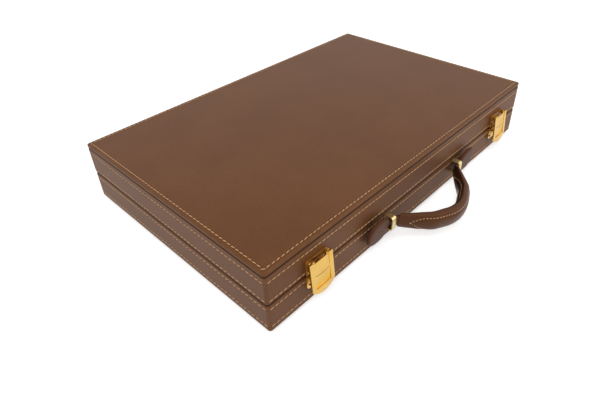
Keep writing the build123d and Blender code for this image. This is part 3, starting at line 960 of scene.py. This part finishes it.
@dataclass
class CaseShell:
    """Both leather-covered halves with their sewn seams."""

    sizes: CaseSizes
    stitches: StitchRows
    row_end: float = 0.0048
    stitch_corner: float = 0.0008
    bottom_inset: float = 0.0055
    bottom_seat: float = 0.0002

    def dress(self, frame: dict[str, Any]) -> None:
        """Puts leather on the shell nodes.

        Args:
            frame: The loaded frame.
        """
        s = self.sizes
        half = (s.length / 2, s.width / 2, s.height / 2)
        leather = dict(deep=paint(102, 61, 35), light=paint(110, 68, 41), worn=paint(138, 94, 62),
                       box=((0, 0, s.height / 2), half))
        for name, seams, nodes in (
                ("case_wall_leather", Seams.WALL, ("base_wall_leather", "lid_wall_leather")),
                ("case_top_leather", Seams.PANEL, ("lid_top_panel", "base_bottom_panel"))):
            material = LeatherFinish(name, seams=seams, **leather).build(s)
            for node in nodes:
                dress_node(frame, node, material)

    def sew(self) -> None:
        """Sews the wall rows and the panel rows."""
        s = self.sizes
        x, y, m = s.length / 2, s.width / 2, s.panel_margin
        rows = [wall_rows(x, y, self.row_end, z) for z in s.wall_rows]
        top = rounded_loop(x - m, y - m, self.stitch_corner, s.height, Facing.UP)
        inset = self.bottom_inset + m
        bottom = rounded_loop(x - inset, y - inset, self.stitch_corner, self.bottom_seat, Facing.DOWN)
        self.stitches.sew("lid_stitches", [*rows[0], *rows[1], top], "lid")
        self.stitches.sew("base_stitches", [*rows[2], *rows[3], bottom], "base")


def dress_node(frame: dict[str, Any], node: str, material: bpy.types.Material) -> None:
    """Gives a CAD node a material.

    Args:
        frame: The loaded frame.
        node: The node's name.
        material: The material that it shows.
    """
    slots = frame["nodes"][node].data.materials
    if len(slots):
        for index in range(len(slots)):
            slots[index] = material
    else:
        slots.append(material)


@dataclass
class BowLine:
    """Middle line of the handle's strap, in metres, let down a little in its loops."""

    strap_end_x: float = 0.090
    bow_corner_x: float = 0.061
    shoulder_x: float = 0.031
    shoulder_reach: float = 0.0356
    top_reach: float = 0.0495
    strap_reach: float = 0.006
    bend_radius: float = 0.014
    shoulder_radius: float = 0.026
    top_radius: float = 0.040
    droop: float = math.radians(7.6)
    front_y: float = -0.145
    height: float = 0.0285
    arc_steps: int = 12

    def __post_init__(self) -> None:
        """Works out the line's points and the distances along it."""
        corners = [(-self.strap_end_x, self.strap_reach), (-self.bow_corner_x, self.strap_reach),
                   (-self.shoulder_x, self.shoulder_reach), (0.0, self.top_reach),
                   (self.shoulder_x, self.shoulder_reach), (self.bow_corner_x, self.strap_reach),
                   (self.strap_end_x, self.strap_reach)]
        radii = [self.bend_radius, self.shoulder_radius, self.top_radius, self.shoulder_radius,
                 self.bend_radius]
        points = [np.array(corners[0])]
        for index, radius in enumerate(radii, 1):
            before, corner, after = (np.array(corners[index + k]) for k in (-1, 0, 1))
            back = (before - corner) / np.linalg.norm(before - corner)
            ahead = (after - corner) / np.linalg.norm(after - corner)
            opening = math.acos(float(np.clip(back @ ahead, -1, 1)))
            reach = radius / math.tan(opening / 2)
            middle = (back + ahead) / np.linalg.norm(back + ahead)
            centre = corner + middle * radius / math.sin(opening / 2)
            first, last = corner + back * reach - centre, corner + ahead * reach - centre
            for step in range(self.arc_steps + 1):
                share = step / self.arc_steps
                ray = first * (1 - share) + last * share
                points.append(centre + ray / np.linalg.norm(ray) * radius)
        points.append(np.array(corners[-1]))
        self.points = np.array(points)
        steps = np.linalg.norm(np.diff(self.points, axis=0), axis=1)
        self.along = np.concatenate([[0.0], np.cumsum(steps)])

    @property
    def total(self) -> float:
        """Length of the line."""
        return float(self.along[-1])

    def flat(self, distance: float) -> np.ndarray:
        """Place on the line as (x, reach)."""
        return np.array([np.interp(distance, self.along, self.points[:, k]) for k in (0, 1)])

    def place(self, distance: float, outward: float, upward: float) -> Vector:
        """Point near the line.

        Args:
            distance: Distance along the line.
            outward: Distance out of the bow, away from the case.
            upward: Distance up across the strap.

        Returns:
            The point in the case's frame, with the droop.
        """
        here, ahead, behind = (self.flat(distance + d) for d in (0.0, 0.0012, -0.0012))
        run = (ahead - behind) / np.linalg.norm(ahead - behind)
        x, reach = here + np.array([-run[1], run[0]]) * outward
        return self.drooped(x, reach, upward)

    def drooped(self, x: float, reach: float, upward: float) -> Vector:
        """Lets a place down by the droop.

        Args:
            x: Place along the case.
            reach: Distance out from the case's front face before the droop.
            upward: Height across the strap.

        Returns:
            The point in the case's frame.
        """
        out = reach - self.strap_reach
        c, s = math.cos(self.droop), math.sin(self.droop)
        return Vector((x, self.front_y - self.strap_reach - out * c - upward * s,
                       self.height - out * s + upward * c))

    def outward(self, distance: float) -> Vector:
        """Direction out of the bow at a distance along it."""
        return (self.place(distance, 0.001, 0.0) - self.place(distance, 0.0, 0.0)).normalized()


@dataclass
class CarryHandle:
    """Strap with end tabs, padded grip with its sewn seam, and the thread."""

    line: BowLine
    leather: bpy.types.Material
    tab_leather: bpy.types.Material
    lining: bpy.types.Material
    stitches: StitchRows
    strap_half_height: float = 0.0060
    strap_half_thick: float = 0.0017
    sleeve_start: float = 0.0345
    grip_half_height: float = 0.0120
    grip_half_thick: float = 0.0064
    end_half_height: float = 0.0086
    end_half_thick: float = 0.0026
    taper: float = 0.050
    seam_shares: tuple[float, float] = (0.62, 0.88)
    seam_start: float = 0.0125
    seam_run: float = 0.017
    seam_depth: float = 0.0012
    tab_centre: float = 0.084
    tab_half_length: float = 0.0160
    tab_half_height: float = 0.0150
    tab_inner: float = 0.0046
    tab_profile: tuple[tuple[float, float], ...] = (
        (0.0, 0.90), (0.0004, 0.965), (0.0012, 1.0), (0.0026, 1.0), (0.0034, 0.965), (0.0039, 0.90),
        (0.0041, 0.80), (0.0042, 0.5), (0.0042, 0.1))
    tab_power: float = 0.86
    tab_steps: int = 64
    grip_powers: tuple[float, float] = (0.9, 0.92)
    grip_rows: int = 150
    grip_end_shares: tuple[float, float] = (0.72, 0.93)
    groove_width: float = 0.0012
    groove_lead: float = 0.001
    groove_fade: float = 0.004
    strap_corner: float = 0.0006
    strap_rows: int = 160
    thread_lift: float = 0.0001
    thread_steps: int = 160
    lining_spots: int = 240
    lining_limit: float = -0.5
    round_steps: int = 48

    def inward(self, distance: float) -> float:
        """Distance from the nearer end of the sleeve to a place on the line."""
        return min(distance, self.line.total - distance) - self.sleeve_start

    def swell(self, distance: float) -> tuple[float, float]:
        """Half height and half thickness of the sleeve.

        Args:
            distance: Distance along the line.

        Returns:
            Both, in metres.
        """
        share = math.sin(min(1.0, max(0.0, self.inward(distance) / self.taper)) * math.pi / 2)
        high = self.end_half_height + share * (self.grip_half_height - self.end_half_height)
        thick = self.end_half_thick + share * (self.grip_half_thick - self.end_half_thick)
        return high, thick

    def seam_height(self, distance: float, upper: bool) -> float:
        """How far a sewn seam lies from the middle of the strap.

        Args:
            distance: Distance along the line.
            upper: Whether it is the seam towards the top edge.

        Returns:
            The distance, 0 at the V-shaped start.
        """
        past = self.inward(distance) - self.seam_start
        share = math.sin(min(1.0, max(0.0, past / self.seam_run)) * math.pi / 2)
        return self.swell(distance)[0] * self.seam_shares[0 if upper else 1] * share

    def surface(self, distance: float, angle: float) -> tuple[float, float]:
        """Section of the sleeve, with the groove that the seam pulls in.

        Args:
            distance: Distance along the line.
            angle: Angle round the section, 0 outward and a quarter turn up.

        Returns:
            Outward and upward distances.
        """
        high, thick = self.swell(distance)
        c, s = math.cos(angle), math.sin(angle)
        out, up = thick * fuller(c, self.grip_powers[0]), high * fuller(s, self.grip_powers[1])
        inward = self.inward(distance) - self.seam_start + self.groove_lead
        if inward > 0:
            gap = (abs(up) - self.seam_height(distance, up > 0)) / self.groove_width
            depth = self.seam_depth * math.exp(-gap * gap) * min(1.0, inward / self.groove_fade)
            out -= math.copysign(depth, out)
        return out, up

    def grip(self) -> None:
        """Makes the padded sleeve."""
        count = self.grip_rows
        start, stop = self.sleeve_start, self.line.total - self.sleeve_start
        shares = (*self.grip_end_shares, 1.0)
        rings: list[Ring] = []
        for row in range(count + 1):
            distance = start + (stop - start) * row / count
            shrink = shares[min(row, count - row, len(shares) - 1)]
            ring = []
            for i in range(self.round_steps):
                out, up = self.surface(distance, 2 * math.pi * i / self.round_steps)
                ring.append(tuple(self.line.place(distance, out * shrink, up * shrink)))
            rings.append(ring)
        made = tube_object("handle_grip_sleeve", [rings], self.leather, crease=70)
        self.line_inside(made)
        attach(made, "handle")
        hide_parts("handle_grip")

    def line_inside(self, made: bpy.types.Object) -> None:
        """Gives the faces that look back at the case a dark leather material, as painted shade.

        Args:
            made: Piece that follows the strap's line.
        """
        made.data.materials.append(self.lining)
        line = self.line
        spots = np.linspace(0.0, line.total, self.lining_spots)
        middle = np.array([tuple(line.place(d, 0.0, 0.0)) for d in spots])
        outward = np.array([tuple(line.outward(d)) for d in spots])
        for face in made.data.polygons:
            nearest = int(np.argmin(np.linalg.norm(middle - np.array(face.center), axis=1)))
            if float(outward[nearest] @ np.array(face.normal)) < self.lining_limit:
                face.material_index = 1

    def strap(self) -> bpy.types.Object:
        """Makes the flat strap from one end tab through both loops to the other.

        Returns:
            The finished piece.
        """
        h, t, r = self.strap_half_height, self.strap_half_thick, self.strap_corner
        section = [(t, -h + r), (t, h - r), (t - r, h), (-t + r, h), (-t, h - r), (-t, -h + r),
                   (-t + r, -h), (t - r, -h)]
        rings = []
        for row in range(self.strap_rows + 1):
            distance = self.line.total * row / self.strap_rows
            rings.append([tuple(self.line.place(distance, out, up)) for out, up in section])
        made = tube_object("handle_strap_leather", [rings], self.leather, crease=50)
        self.line_inside(made)
        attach(made, "handle")
        return made

    def tab(self, side: Side) -> None:
        """Makes a rounded leather end that keeps the strap from pulling through its loop.

        Args:
            side: Which end.
        """
        rings = []
        for depth, share in self.tab_profile:
            ring = []
            for step in range(self.tab_steps):
                c, s = spoke(step, self.tab_steps)
                along = self.tab_half_length * fuller(c, self.tab_power) * share
                up = self.tab_half_height * fuller(s, self.tab_power) * share
                x = side.value * (self.tab_centre + along)
                ring.append(tuple(self.line.drooped(x, self.tab_inner + depth, up)))
            rings.append(ring)
        made = tube_object(f"handle_tab_{side.word}", [rings], self.tab_leather, crease=60)
        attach(made, "handle")

    def thread(self) -> None:
        """Sews seams above and below the middle on both faces of the grip, with a V at each end."""
        start = self.sleeve_start + self.seam_start
        stop = self.line.total - start
        rows = []
        for face in (1, -1):
            for rise in (1, -1):
                points, normals = [], []
                for step in range(self.thread_steps + 1):
                    distance = start + (stop - start) * step / self.thread_steps
                    share = self.seam_height(distance, rise > 0) / self.swell(distance)[0]
                    angle = rise * math.asin(min(1.0, share ** (1 / self.grip_powers[1])))
                    out, up = self.surface(distance, angle)
                    points.append(self.line.place(distance, face * (out + self.thread_lift), up))
                    normals.append(self.line.outward(distance) * face)
                rows.append((points, normals, False))
        self.stitches.sew("handle_stitches", rows, "handle")

    def build(self) -> None:
        """Makes every piece of the handle."""
        self.grip()
        strap = self.strap()
        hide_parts("handle_strap")
        for side in Side:
            self.tab(side)
        self.thread()


def softened_copy(frame: dict[str, Any], node: str, name: str, material: bpy.types.Material,
                  radius: float, cut: "FineCut | None" = None) -> bpy.types.Object:
    """Copy of a CAD node with its sharp edges rounded.

    Args:
        frame: The loaded frame.
        node: The CAD node.
        name: Name of the new piece.
        material: Its material.
        radius: Radius of the rounded edges.
        cut: A fine cut whose edges stay sharp and whose deep faces get its dark material as painted shade.

    Returns:
        The finished copy.
    """
    same_place, flat_within = 2e-6, math.radians(2)
    edge_above, crease_above = math.radians(35), math.radians(40)
    mesh = frame["nodes"][node].data.copy()
    mesh.materials.clear()
    mesh.materials.append(material)
    work = bmesh.new()
    work.from_mesh(mesh)
    bmesh.ops.remove_doubles(work, verts=work.verts, dist=same_place)
    spared = {corner for corner in work.verts if cut and cut.holds(corner.co)}
    flat = [edge for edge in work.edges
            if not any(corner in spared for face in edge.link_faces for corner in face.verts)]
    bmesh.ops.dissolve_limit(work, angle_limit=flat_within, verts=[], edges=flat)
    weight = work.edges.layers.float.new("bevel_weight_edge")
    for edge in work.edges:
        turned = len(edge.link_faces) == 2 and edge.calc_face_angle() > edge_above
        edge[weight] = float(turned and not all(corner in spared for corner in edge.verts))
    # Painted shade: the slit's faces deeper than the recess get the cut's dark material.
    if cut:
        mesh.materials.append(cut.material)
        for face in work.faces:
            face.material_index = int(all(corner in spared for corner in face.verts)
                                      and any(cut.is_deep(corner.co) for corner in face.verts))
    work.to_mesh(mesh)
    work.free()
    if mesh.has_custom_normals:
        mesh.attributes.remove(mesh.attributes["custom_normal"])
    made = in_scene(name, mesh)
    bevel = made.modifiers.new("soft edges", "BEVEL")
    bevel.width, bevel.segments, bevel.limit_method = radius, 3, "WEIGHT"
    bevel.use_clamp_overlap = True
    settle(made)
    made.data.polygons.foreach_set("use_smooth", [True] * len(made.data.polygons))
    made.data.set_sharp_from_angle(angle=crease_above)
    return made


@dataclass(frozen=True)
class FineCut:
    """Narrow slit across a sloping face, whose deep faces get a dark material as painted shade."""

    origin: Vector
    inward: Vector
    half_width: float
    heights: tuple[float, float]
    floor_depth: float
    material: bpy.types.Material

    def holds(self, place: Vector) -> bool:
        """Whether a corner of the mesh belongs to the slit."""
        across = abs(place.x - self.origin.x) <= self.half_width
        return across and self.heights[0] <= place.z <= self.heights[1]

    def is_deep(self, place: Vector) -> bool:
        """Whether a corner lies deeper than the recess round the slit."""
        return (place - self.origin) @ self.inward > self.floor_depth


@dataclass
class Latch:
    """One brass latch: plate, lever, hook and keeper."""

    side: Side
    finish: MetalFinish
    brass: bpy.types.Material
    plate: bpy.types.Material
    pin: bpy.types.Material
    middle_x: float = 0.1653
    face_top: Point = (0.0, -0.1518, 0.0548)
    tilt: float = math.radians(5.2)
    pocket_half_width: float = 0.0099
    slit_half_width: float = 0.0086
    slit_heights: tuple[float, float] = (0.0370, 0.0398)
    slit_floor: float = 0.0007

    def build(self, frame: dict[str, Any]) -> None:
        """Rounds the edges of the pressed pieces and dresses the rest.

        Args:
            frame: The loaded frame.
        """
        word = self.side.word
        origin = Vector((self.side.value * self.middle_x, self.face_top[1], self.face_top[2]))
        inward = Vector((0.0, math.cos(self.tilt), -math.sin(self.tilt)))
        # The recess mask paints shade and reflection into the lever's finger pull.
        recess = {"Origin": tuple(origin), "Inward": tuple(inward), "Half Width": self.pocket_half_width}
        lever = replace(self.finish, name=f"{self.finish.name}_lever_{word}", recess=recess).build()
        # The slit's deep faces take the dark bronze pin material as painted shade.
        slit = FineCut(origin, inward, self.slit_half_width, self.slit_heights, self.slit_floor, self.pin)
        pieces = (("latch_lever", f"latch_{word}", 0.00035, lever, slit),
                  ("latch_plate", "lid", 0.0002, self.plate, None),
                  ("keeper", "base", 0.0003, self.brass, None),
                  ("keeper_catch", "base", 0.0002, self.brass, None),
                  ("latch_hook", f"hook_{word}", 0.00015, self.brass, None))
        for kind, body, radius, material, cut in pieces:
            node = f"{kind}_{word}"
            made = softened_copy(frame, node, f"{kind}_brass_{word}", material, radius, cut)
            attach(made, body)
            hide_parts(node)
            log.info("%s: %d faces", made.name, len(made.data.polygons))
        for node in (f"latch_pin_{word}", f"hook_pin_{word}"):
            dress_node(frame, node, self.pin)


@dataclass
class StoredPieces:
    """Checkers, dice, cups and the doubling cube, packed in the tray."""

    ivory: bpy.types.Material
    brown: bpy.types.Material
    stitches: StitchRows
    cup_rows: tuple[float, float] = (0.1433, 0.2061)
    die_side: float = 0.014
    die_step: float = 0.015
    pip_radius: float = 0.0011
    pip_spread: float = 0.0036
    checker_radius: float = 0.018
    checker_thick: float = 0.0078
    checker_pitch: float = 0.008
    checker_face: tuple[tuple[float, float], ...] = (
        (0.0, -0.0006), (0.0095, -0.0006), (0.0102, 0.0), (0.0128, 0.0), (0.0132, -0.0005),
        (0.0140, -0.0005), (0.0144, 0.0))
    checker_rim: tuple[tuple[float, float], ...] = ((-0.0012, 0.0), (-0.0004, -0.0004), (0.0, -0.0012))
    checker_steps: int = 48
    pole_radius: float = 1e-5
    cup_seam_start: float = math.radians(-70)
    cup_seam_turn: float = math.radians(320)
    cup_seam_steps: int = 96
    pip_profile: tuple[tuple[float, float], ...] = (
        (-0.0004, 0.8), (0.00002, 1.0), (0.00008, 0.9), (0.0001, 0.5))
    pip_steps: int = 16

    def checkers(self, node: str, material: bpy.types.Material) -> bpy.types.Object:
        """Row of turned discs with a ring groove on each face.

        Args:
            node: CAD node that they stand for.
            material: Their material.

        Returns:
            The finished piece.
        """
        low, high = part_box(node)
        count = round((high.x - low.x - self.checker_thick) / self.checker_pitch) + 1
        middle = (low + high) / 2
        r, t = self.checker_radius, self.checker_thick / 2
        half = [(radius, t + rise) for radius, rise in self.checker_face]
        half += [(r + radius, t + rise) for radius, rise in self.checker_rim]
        profile = half + [(radius, -depth) for radius, depth in reversed(half)]
        circle = [spoke(step, self.checker_steps) for step in range(self.checker_steps)]
        tubes = []
        for index in range(count):
            x = low.x + t + index * self.checker_pitch
            rings = []
            for radius, depth in profile:
                spread = max(radius, self.pole_radius)
                rings.append([(x + depth, middle.y + spread * c, middle.z + spread * s)
                              for c, s in circle])
            tubes.append(rings)
        made = tube_object(f"{node}_turned", tubes, material, crease=35)
        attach(made, "base")
        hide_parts(node)
        return made

    def cup_seams(self) -> None:
        """Sews a row round both bands of each cup, open where the cup lies on the tray."""
        rows = []
        for side in Side:
            low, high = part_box(f"dice_cup_{side.word}")
            middle, half = (low + high) / 2, (high - low) / 2
            for x in self.cup_rows:
                points, normals = [], []
                for step in range(self.cup_seam_steps + 1):
                    angle = self.cup_seam_start + self.cup_seam_turn * step / self.cup_seam_steps
                    c, s = math.cos(angle), math.sin(angle)
                    points.append(Vector((side.value * x, middle.y + half.y * c, middle.z + half.z * s)))
                    normals.append(Vector((0, c / half.y, s / half.z)).normalized())
                rows.append((points, normals, False))
        self.stitches.sew("cup_stitches", rows, "base")

    def pip_places(self, count: int) -> list[tuple[float, float]]:
        """Where the pips of one face lie, in steps of the spread."""
        corners = [(-1, -1), (1, 1), (-1, 1), (1, -1)]
        sides = [(-1, 0), (1, 0)] if count == 6 else []
        middle = [(0, 0)] if count % 2 else []
        return corners[:count // 2 * 2 if count < 6 else 4] + sides + middle

    def pip(self, centre: Vector, axis: int, sign: int, u: float, v: float) -> list[Ring]:
        """Rings of one pip.

        Args:
            centre: Middle of the die.
            axis: Axis that the face looks along, 0 to 2.
            sign: 1 or -1, which way it looks.
            u: Place of the pip along the next axis, in steps of the spread.
            v: Place of the pip along the axis after that.

        Returns:
            The rings, from inside the face to the top of the pip.
        """
        rings = []
        for depth, share in self.pip_profile:
            ring = []
            for step in range(self.pip_steps):
                c, s = spoke(step, self.pip_steps)
                spot = [0.0, 0.0, 0.0]
                spot[axis] = sign * (self.die_side / 2 + depth)
                spot[(axis + 1) % 3] = u * self.pip_spread + c * self.pip_radius * share
                spot[(axis + 2) % 3] = v * self.pip_spread + s * self.pip_radius * share
                ring.append(tuple(centre + Vector(spot)))
            rings.append(ring)
        return rings

    def pips(self, node: str, material: bpy.types.Material) -> None:
        """Round inlaid pips on every face of a pair of dice.

        Args:
            node: CAD node of the pair.
            material: Material of the pips.
        """
        low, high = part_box(node)
        half = self.die_side / 2
        tubes = []
        for index in range(2):
            centre = Vector((low.x + half + index * self.die_step, (low.y + high.y) / 2, low.z + half))
            for axis in range(3):
                for sign, count in ((1, axis + 1), (-1, 6 - axis)):
                    for u, v in self.pip_places(count):
                        tubes.append(self.pip(centre, axis, sign, u, v))
        made = tube_object(f"{node}_pips", tubes, material, crease=50)
        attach(made, "base")

    def build(self, frame: dict[str, Any]) -> None:
        """Makes the turned pieces, the pips and the cups' seams.

        Args:
            frame: The loaded frame.
        """
        for node, slot, material in (("checkers_light", "checker_light", self.ivory),
                                     ("checkers_dark", "checker_dark", self.brown)):
            self.checkers(node, material)
        dress_node(frame, "dice_light", self.ivory)
        dress_node(frame, "dice_dark", self.brown)
        dress_node(frame, "doubling_cube", self.ivory)
        self.pips("dice_light", self.brown)
        self.pips("dice_dark", self.ivory)
        self.cup_seams()


@dataclass(frozen=True)
class Lamp:
    """Soft square lamp."""

    name: str
    place: Point
    aim: Point
    size: float
    watts: float

    def build(self) -> None:
        """Hangs the lamp in the scene."""
        data = bpy.data.lights.new(self.name, "AREA")
        data.size, data.energy = self.size, self.watts
        made = in_scene(self.name, data)
        made.location = self.place
        made.rotation_euler = (Vector(self.aim) - Vector(self.place)).to_track_quat("-Z", "Y").to_euler()


@dataclass
class Studio:
    """White floor, soft lamps and the camera at the photograph's view."""

    camera_place: Point = (-0.382610, -0.357800, 0.356677)
    forward: Point = (0.586873, 0.569495, -0.575548)
    right: Point = (0.682741, -0.730186, -0.026331)
    focal_pixels: float = 494.21
    middle_pixels: tuple[float, float] = (314.447, 169.992)
    frame_pixels: tuple[float, float] = (600.0, 400.0)
    sensor_width: float = 36.0
    clip: tuple[float, float] = (0.01, 50.0)
    light_strength: float = 0.55
    seen_strength: float = 0.45
    floor_reach: float = 6.0
    floor_drop: float = 0.0002
    floor_grey: float = 0.8
    floor_glow: float = 0.42
    camera_glow: float = 0.14
    lamps: tuple[Lamp, ...] = (Lamp("key", (-0.9, -0.6, 1.6), (0, 0, 0.04), 1.2, 14.0),
                               Lamp("fill", (0.8, -1.4, 0.9), (0, -0.1, 0.03), 1.0, 5.0))

    def camera(self) -> None:
        """Places the camera."""
        data = bpy.data.cameras.new("camera")
        width, height = self.frame_pixels
        data.sensor_width = self.sensor_width
        data.lens = self.focal_pixels * data.sensor_width / width
        data.shift_x = (width / 2 - self.middle_pixels[0]) / width
        data.shift_y = (self.middle_pixels[1] - height / 2) / width
        data.clip_start, data.clip_end = self.clip
        forward = Vector(self.forward).normalized()
        right = (Vector(self.right) - forward * forward.dot(Vector(self.right))).normalized()
        up = right.cross(forward)
        turn = Matrix((right, up, -forward)).transposed().to_4x4()
        made = in_scene("camera", data)
        made.matrix_world = Matrix.Translation(Vector(self.camera_place)) @ turn
        bpy.context.scene.camera = made

    def seen_directly(self, w: Wiring) -> bpy.types.NodeSocket:
        """1 for rays from the camera and for mirror and glass rays."""
        light = w.add("ShaderNodeLightPath").outputs
        seen = w.sum("MAXIMUM", light["Is Camera Ray"], light["Is Glossy Ray"])
        return w.sum("MAXIMUM", seen, light["Is Transmission Ray"])

    def world(self) -> None:
        """White surroundings, brighter to the eye than as a light."""
        world = bpy.data.worlds.new("studio")
        world.use_nodes = True
        bpy.context.scene.world = world
        w = Wiring(world.node_tree)
        strength = w.sum("MULTIPLY_ADD", self.seen_directly(w), self.seen_strength, self.light_strength)
        world.node_tree.nodes["Background"].inputs["Color"].default_value = (1.0, 1.0, 1.0, 1.0)
        w.join(strength, world.node_tree.nodes["Background"].inputs["Strength"])

    def floor(self) -> None:
        """Large white floor that keeps the object's shadow."""
        reach = self.floor_reach
        corners = [(x * reach, y * reach, 0) for x, y in ((-1, -1), (1, -1), (1, 1), (-1, 1))]
        material, w, shader, _ = new_material("studio_floor")
        shader.inputs["Base Color"].default_value = (*[self.floor_grey] * 3, 1.0)
        shader.inputs["Roughness"].default_value = 1.0
        shader.inputs["Specular IOR Level"].default_value = 0.0
        shader.inputs["Emission Color"].default_value = (1.0, 1.0, 1.0, 1.0)
        camera = w.add("ShaderNodeLightPath").outputs["Is Camera Ray"]
        own = w.sum("MULTIPLY", camera, self.camera_glow)
        glow = w.sum("MULTIPLY_ADD", self.seen_directly(w), self.floor_glow, own)
        w.join(glow, shader.inputs["Emission Strength"])
        made = mesh_object("floor", corners, [(0, 1, 2, 3)], material)
        made.location.z = -self.floor_drop

    def build(self) -> None:
        """Sets up the whole studio."""
        bpy.context.scene.view_settings.view_transform = "Standard"
        self.camera()
        self.world()
        self.floor()
        for lamp in self.lamps:
            lamp.build()


GOLD = MetalFinish("latch_gold_brass", paint(224, 184, 100), paint(204, 158, 76), 0.2)
HANDLE = LeatherFinish("handle_brown_leather", paint(84, 49, 33), paint(94, 57, 39), paint(122, 80, 58),
                       pebbles=1300.0, pebble_depth=0.00004, roughness=0.32, shine=0.26)
FINISHES = {
    "brass": GOLD,
    # Painted shade and reflection: the plate's brass is darker and rougher than the lever's, standing in
    # for the shade behind the lever and the dark leather it mirrors.
    "plate": replace(GOLD, name="plate_aged_brass", colour=paint(196, 144, 66),
                     dull=paint(170, 116, 48), roughness=0.36),
    "loop": MetalFinish("loop_pale_brass", paint(226, 206, 150), paint(196, 176, 124), 0.24),
    "hinge": MetalFinish("hinge_brass_rolled", paint(214, 178, 104), paint(180, 146, 84), 0.28),
    "steel": MetalFinish("pin_steel", paint(190, 184, 172), paint(150, 144, 134), 0.3),
    "bronze": MetalFinish("pin_dark_bronze", paint(118, 76, 34), paint(84, 52, 24), 0.34),
    "wood": WoodFinish("frame_board", paint(176, 138, 96), paint(206, 170, 126)),
    "felt": FeltFinish("field_brown_felt", paint(52, 32, 24), paint(86, 58, 44)),
    "ivory": ResinFinish("ivory_resin", paint(222, 208, 176), paint(240, 230, 204)),
    "brown": ResinFinish("dark_brown_resin", paint(56, 28, 18), paint(92, 50, 32)),
    "thread": ThreadFinish("tan_thread", paint(206, 150, 92), paint(246, 202, 146)),
}
LEATHERS = {
    "handle": HANDLE,
    "tab": replace(HANDLE, name="tab_brown_leather", shine=0.12, roughness=0.42),
    # Painted shade: near-black leather for the handle's faces that look back at the case.
    "lining": LeatherFinish("handle_dark_lining", paint(30, 18, 14), paint(44, 27, 20), paint(60, 38, 30),
                            pebbles=1300.0, pebble_depth=0.00005, roughness=0.28, shine=0.5),
    "divider": LeatherFinish("divider_brown_leather", paint(84, 54, 40), paint(106, 72, 54),
                             paint(128, 90, 66)),
    "cream": LeatherFinish("points_cream_leather", paint(206, 188, 152), paint(226, 210, 178),
                           paint(236, 222, 196), pebbles=1200.0, pebble_depth=0.00006),
    "tan": LeatherFinish("points_tan_leather", paint(146, 92, 50), paint(174, 116, 68),
                         paint(190, 136, 88), pebbles=1200.0, pebble_depth=0.00006),
}
SLOT_LOOKS = {
    "field_felt": "felt", "tray_felt": "felt", "frame_wood": "wood", "divider_leather": "divider",
    "points_cream": "cream", "points_tan": "tan", "hinge_brass": "hinge", "pin_steel": "steel",
    "loop_brass": "loop", "latch_brass": "brass", "cup_leather": "divider",
}


def build_looks(sizes: CaseSizes) -> dict[str, bpy.types.Material]:
    """Builds every material but the case's own leather.

    Args:
        sizes: Sizes of the case.

    Returns:
        Materials by short name.
    """
    looks = {key: finish.build() for key, finish in FINISHES.items()}
    return {**looks, **{key: finish.build(sizes) for key, finish in LEATHERS.items()}}


def main() -> None:
    """Builds the looks in order."""
    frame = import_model()
    sizes = CaseSizes.measured()
    Studio().build()
    looks = build_looks(sizes)

    case_stitches = StitchRows(looks["thread"])
    shell = CaseShell(sizes, case_stitches)
    shell.dress(frame)
    shell.sew()
    for part in frame["record"]["subparts"]:
        if part["material_slot"] in SLOT_LOOKS:
            dress_node(frame, part["node"], looks[SLOT_LOOKS[part["material_slot"]]])

    handle_stitches = StitchRows(looks["thread"], pitch=0.0034, stitch_length=0.0026, thread_width=0.0008,
                                 rise=0.0004, slant=0.0)
    CarryHandle(BowLine(), looks["handle"], looks["tab"], looks["lining"], handle_stitches).build()
    for side in Side:
        Latch(side, GOLD, looks["brass"], looks["plate"], looks["bronze"]).build(frame)
    StoredPieces(looks["ivory"], looks["brown"], case_stitches).build(frame)

    log.info("boxes written")


if __name__ == "__main__":
    main()
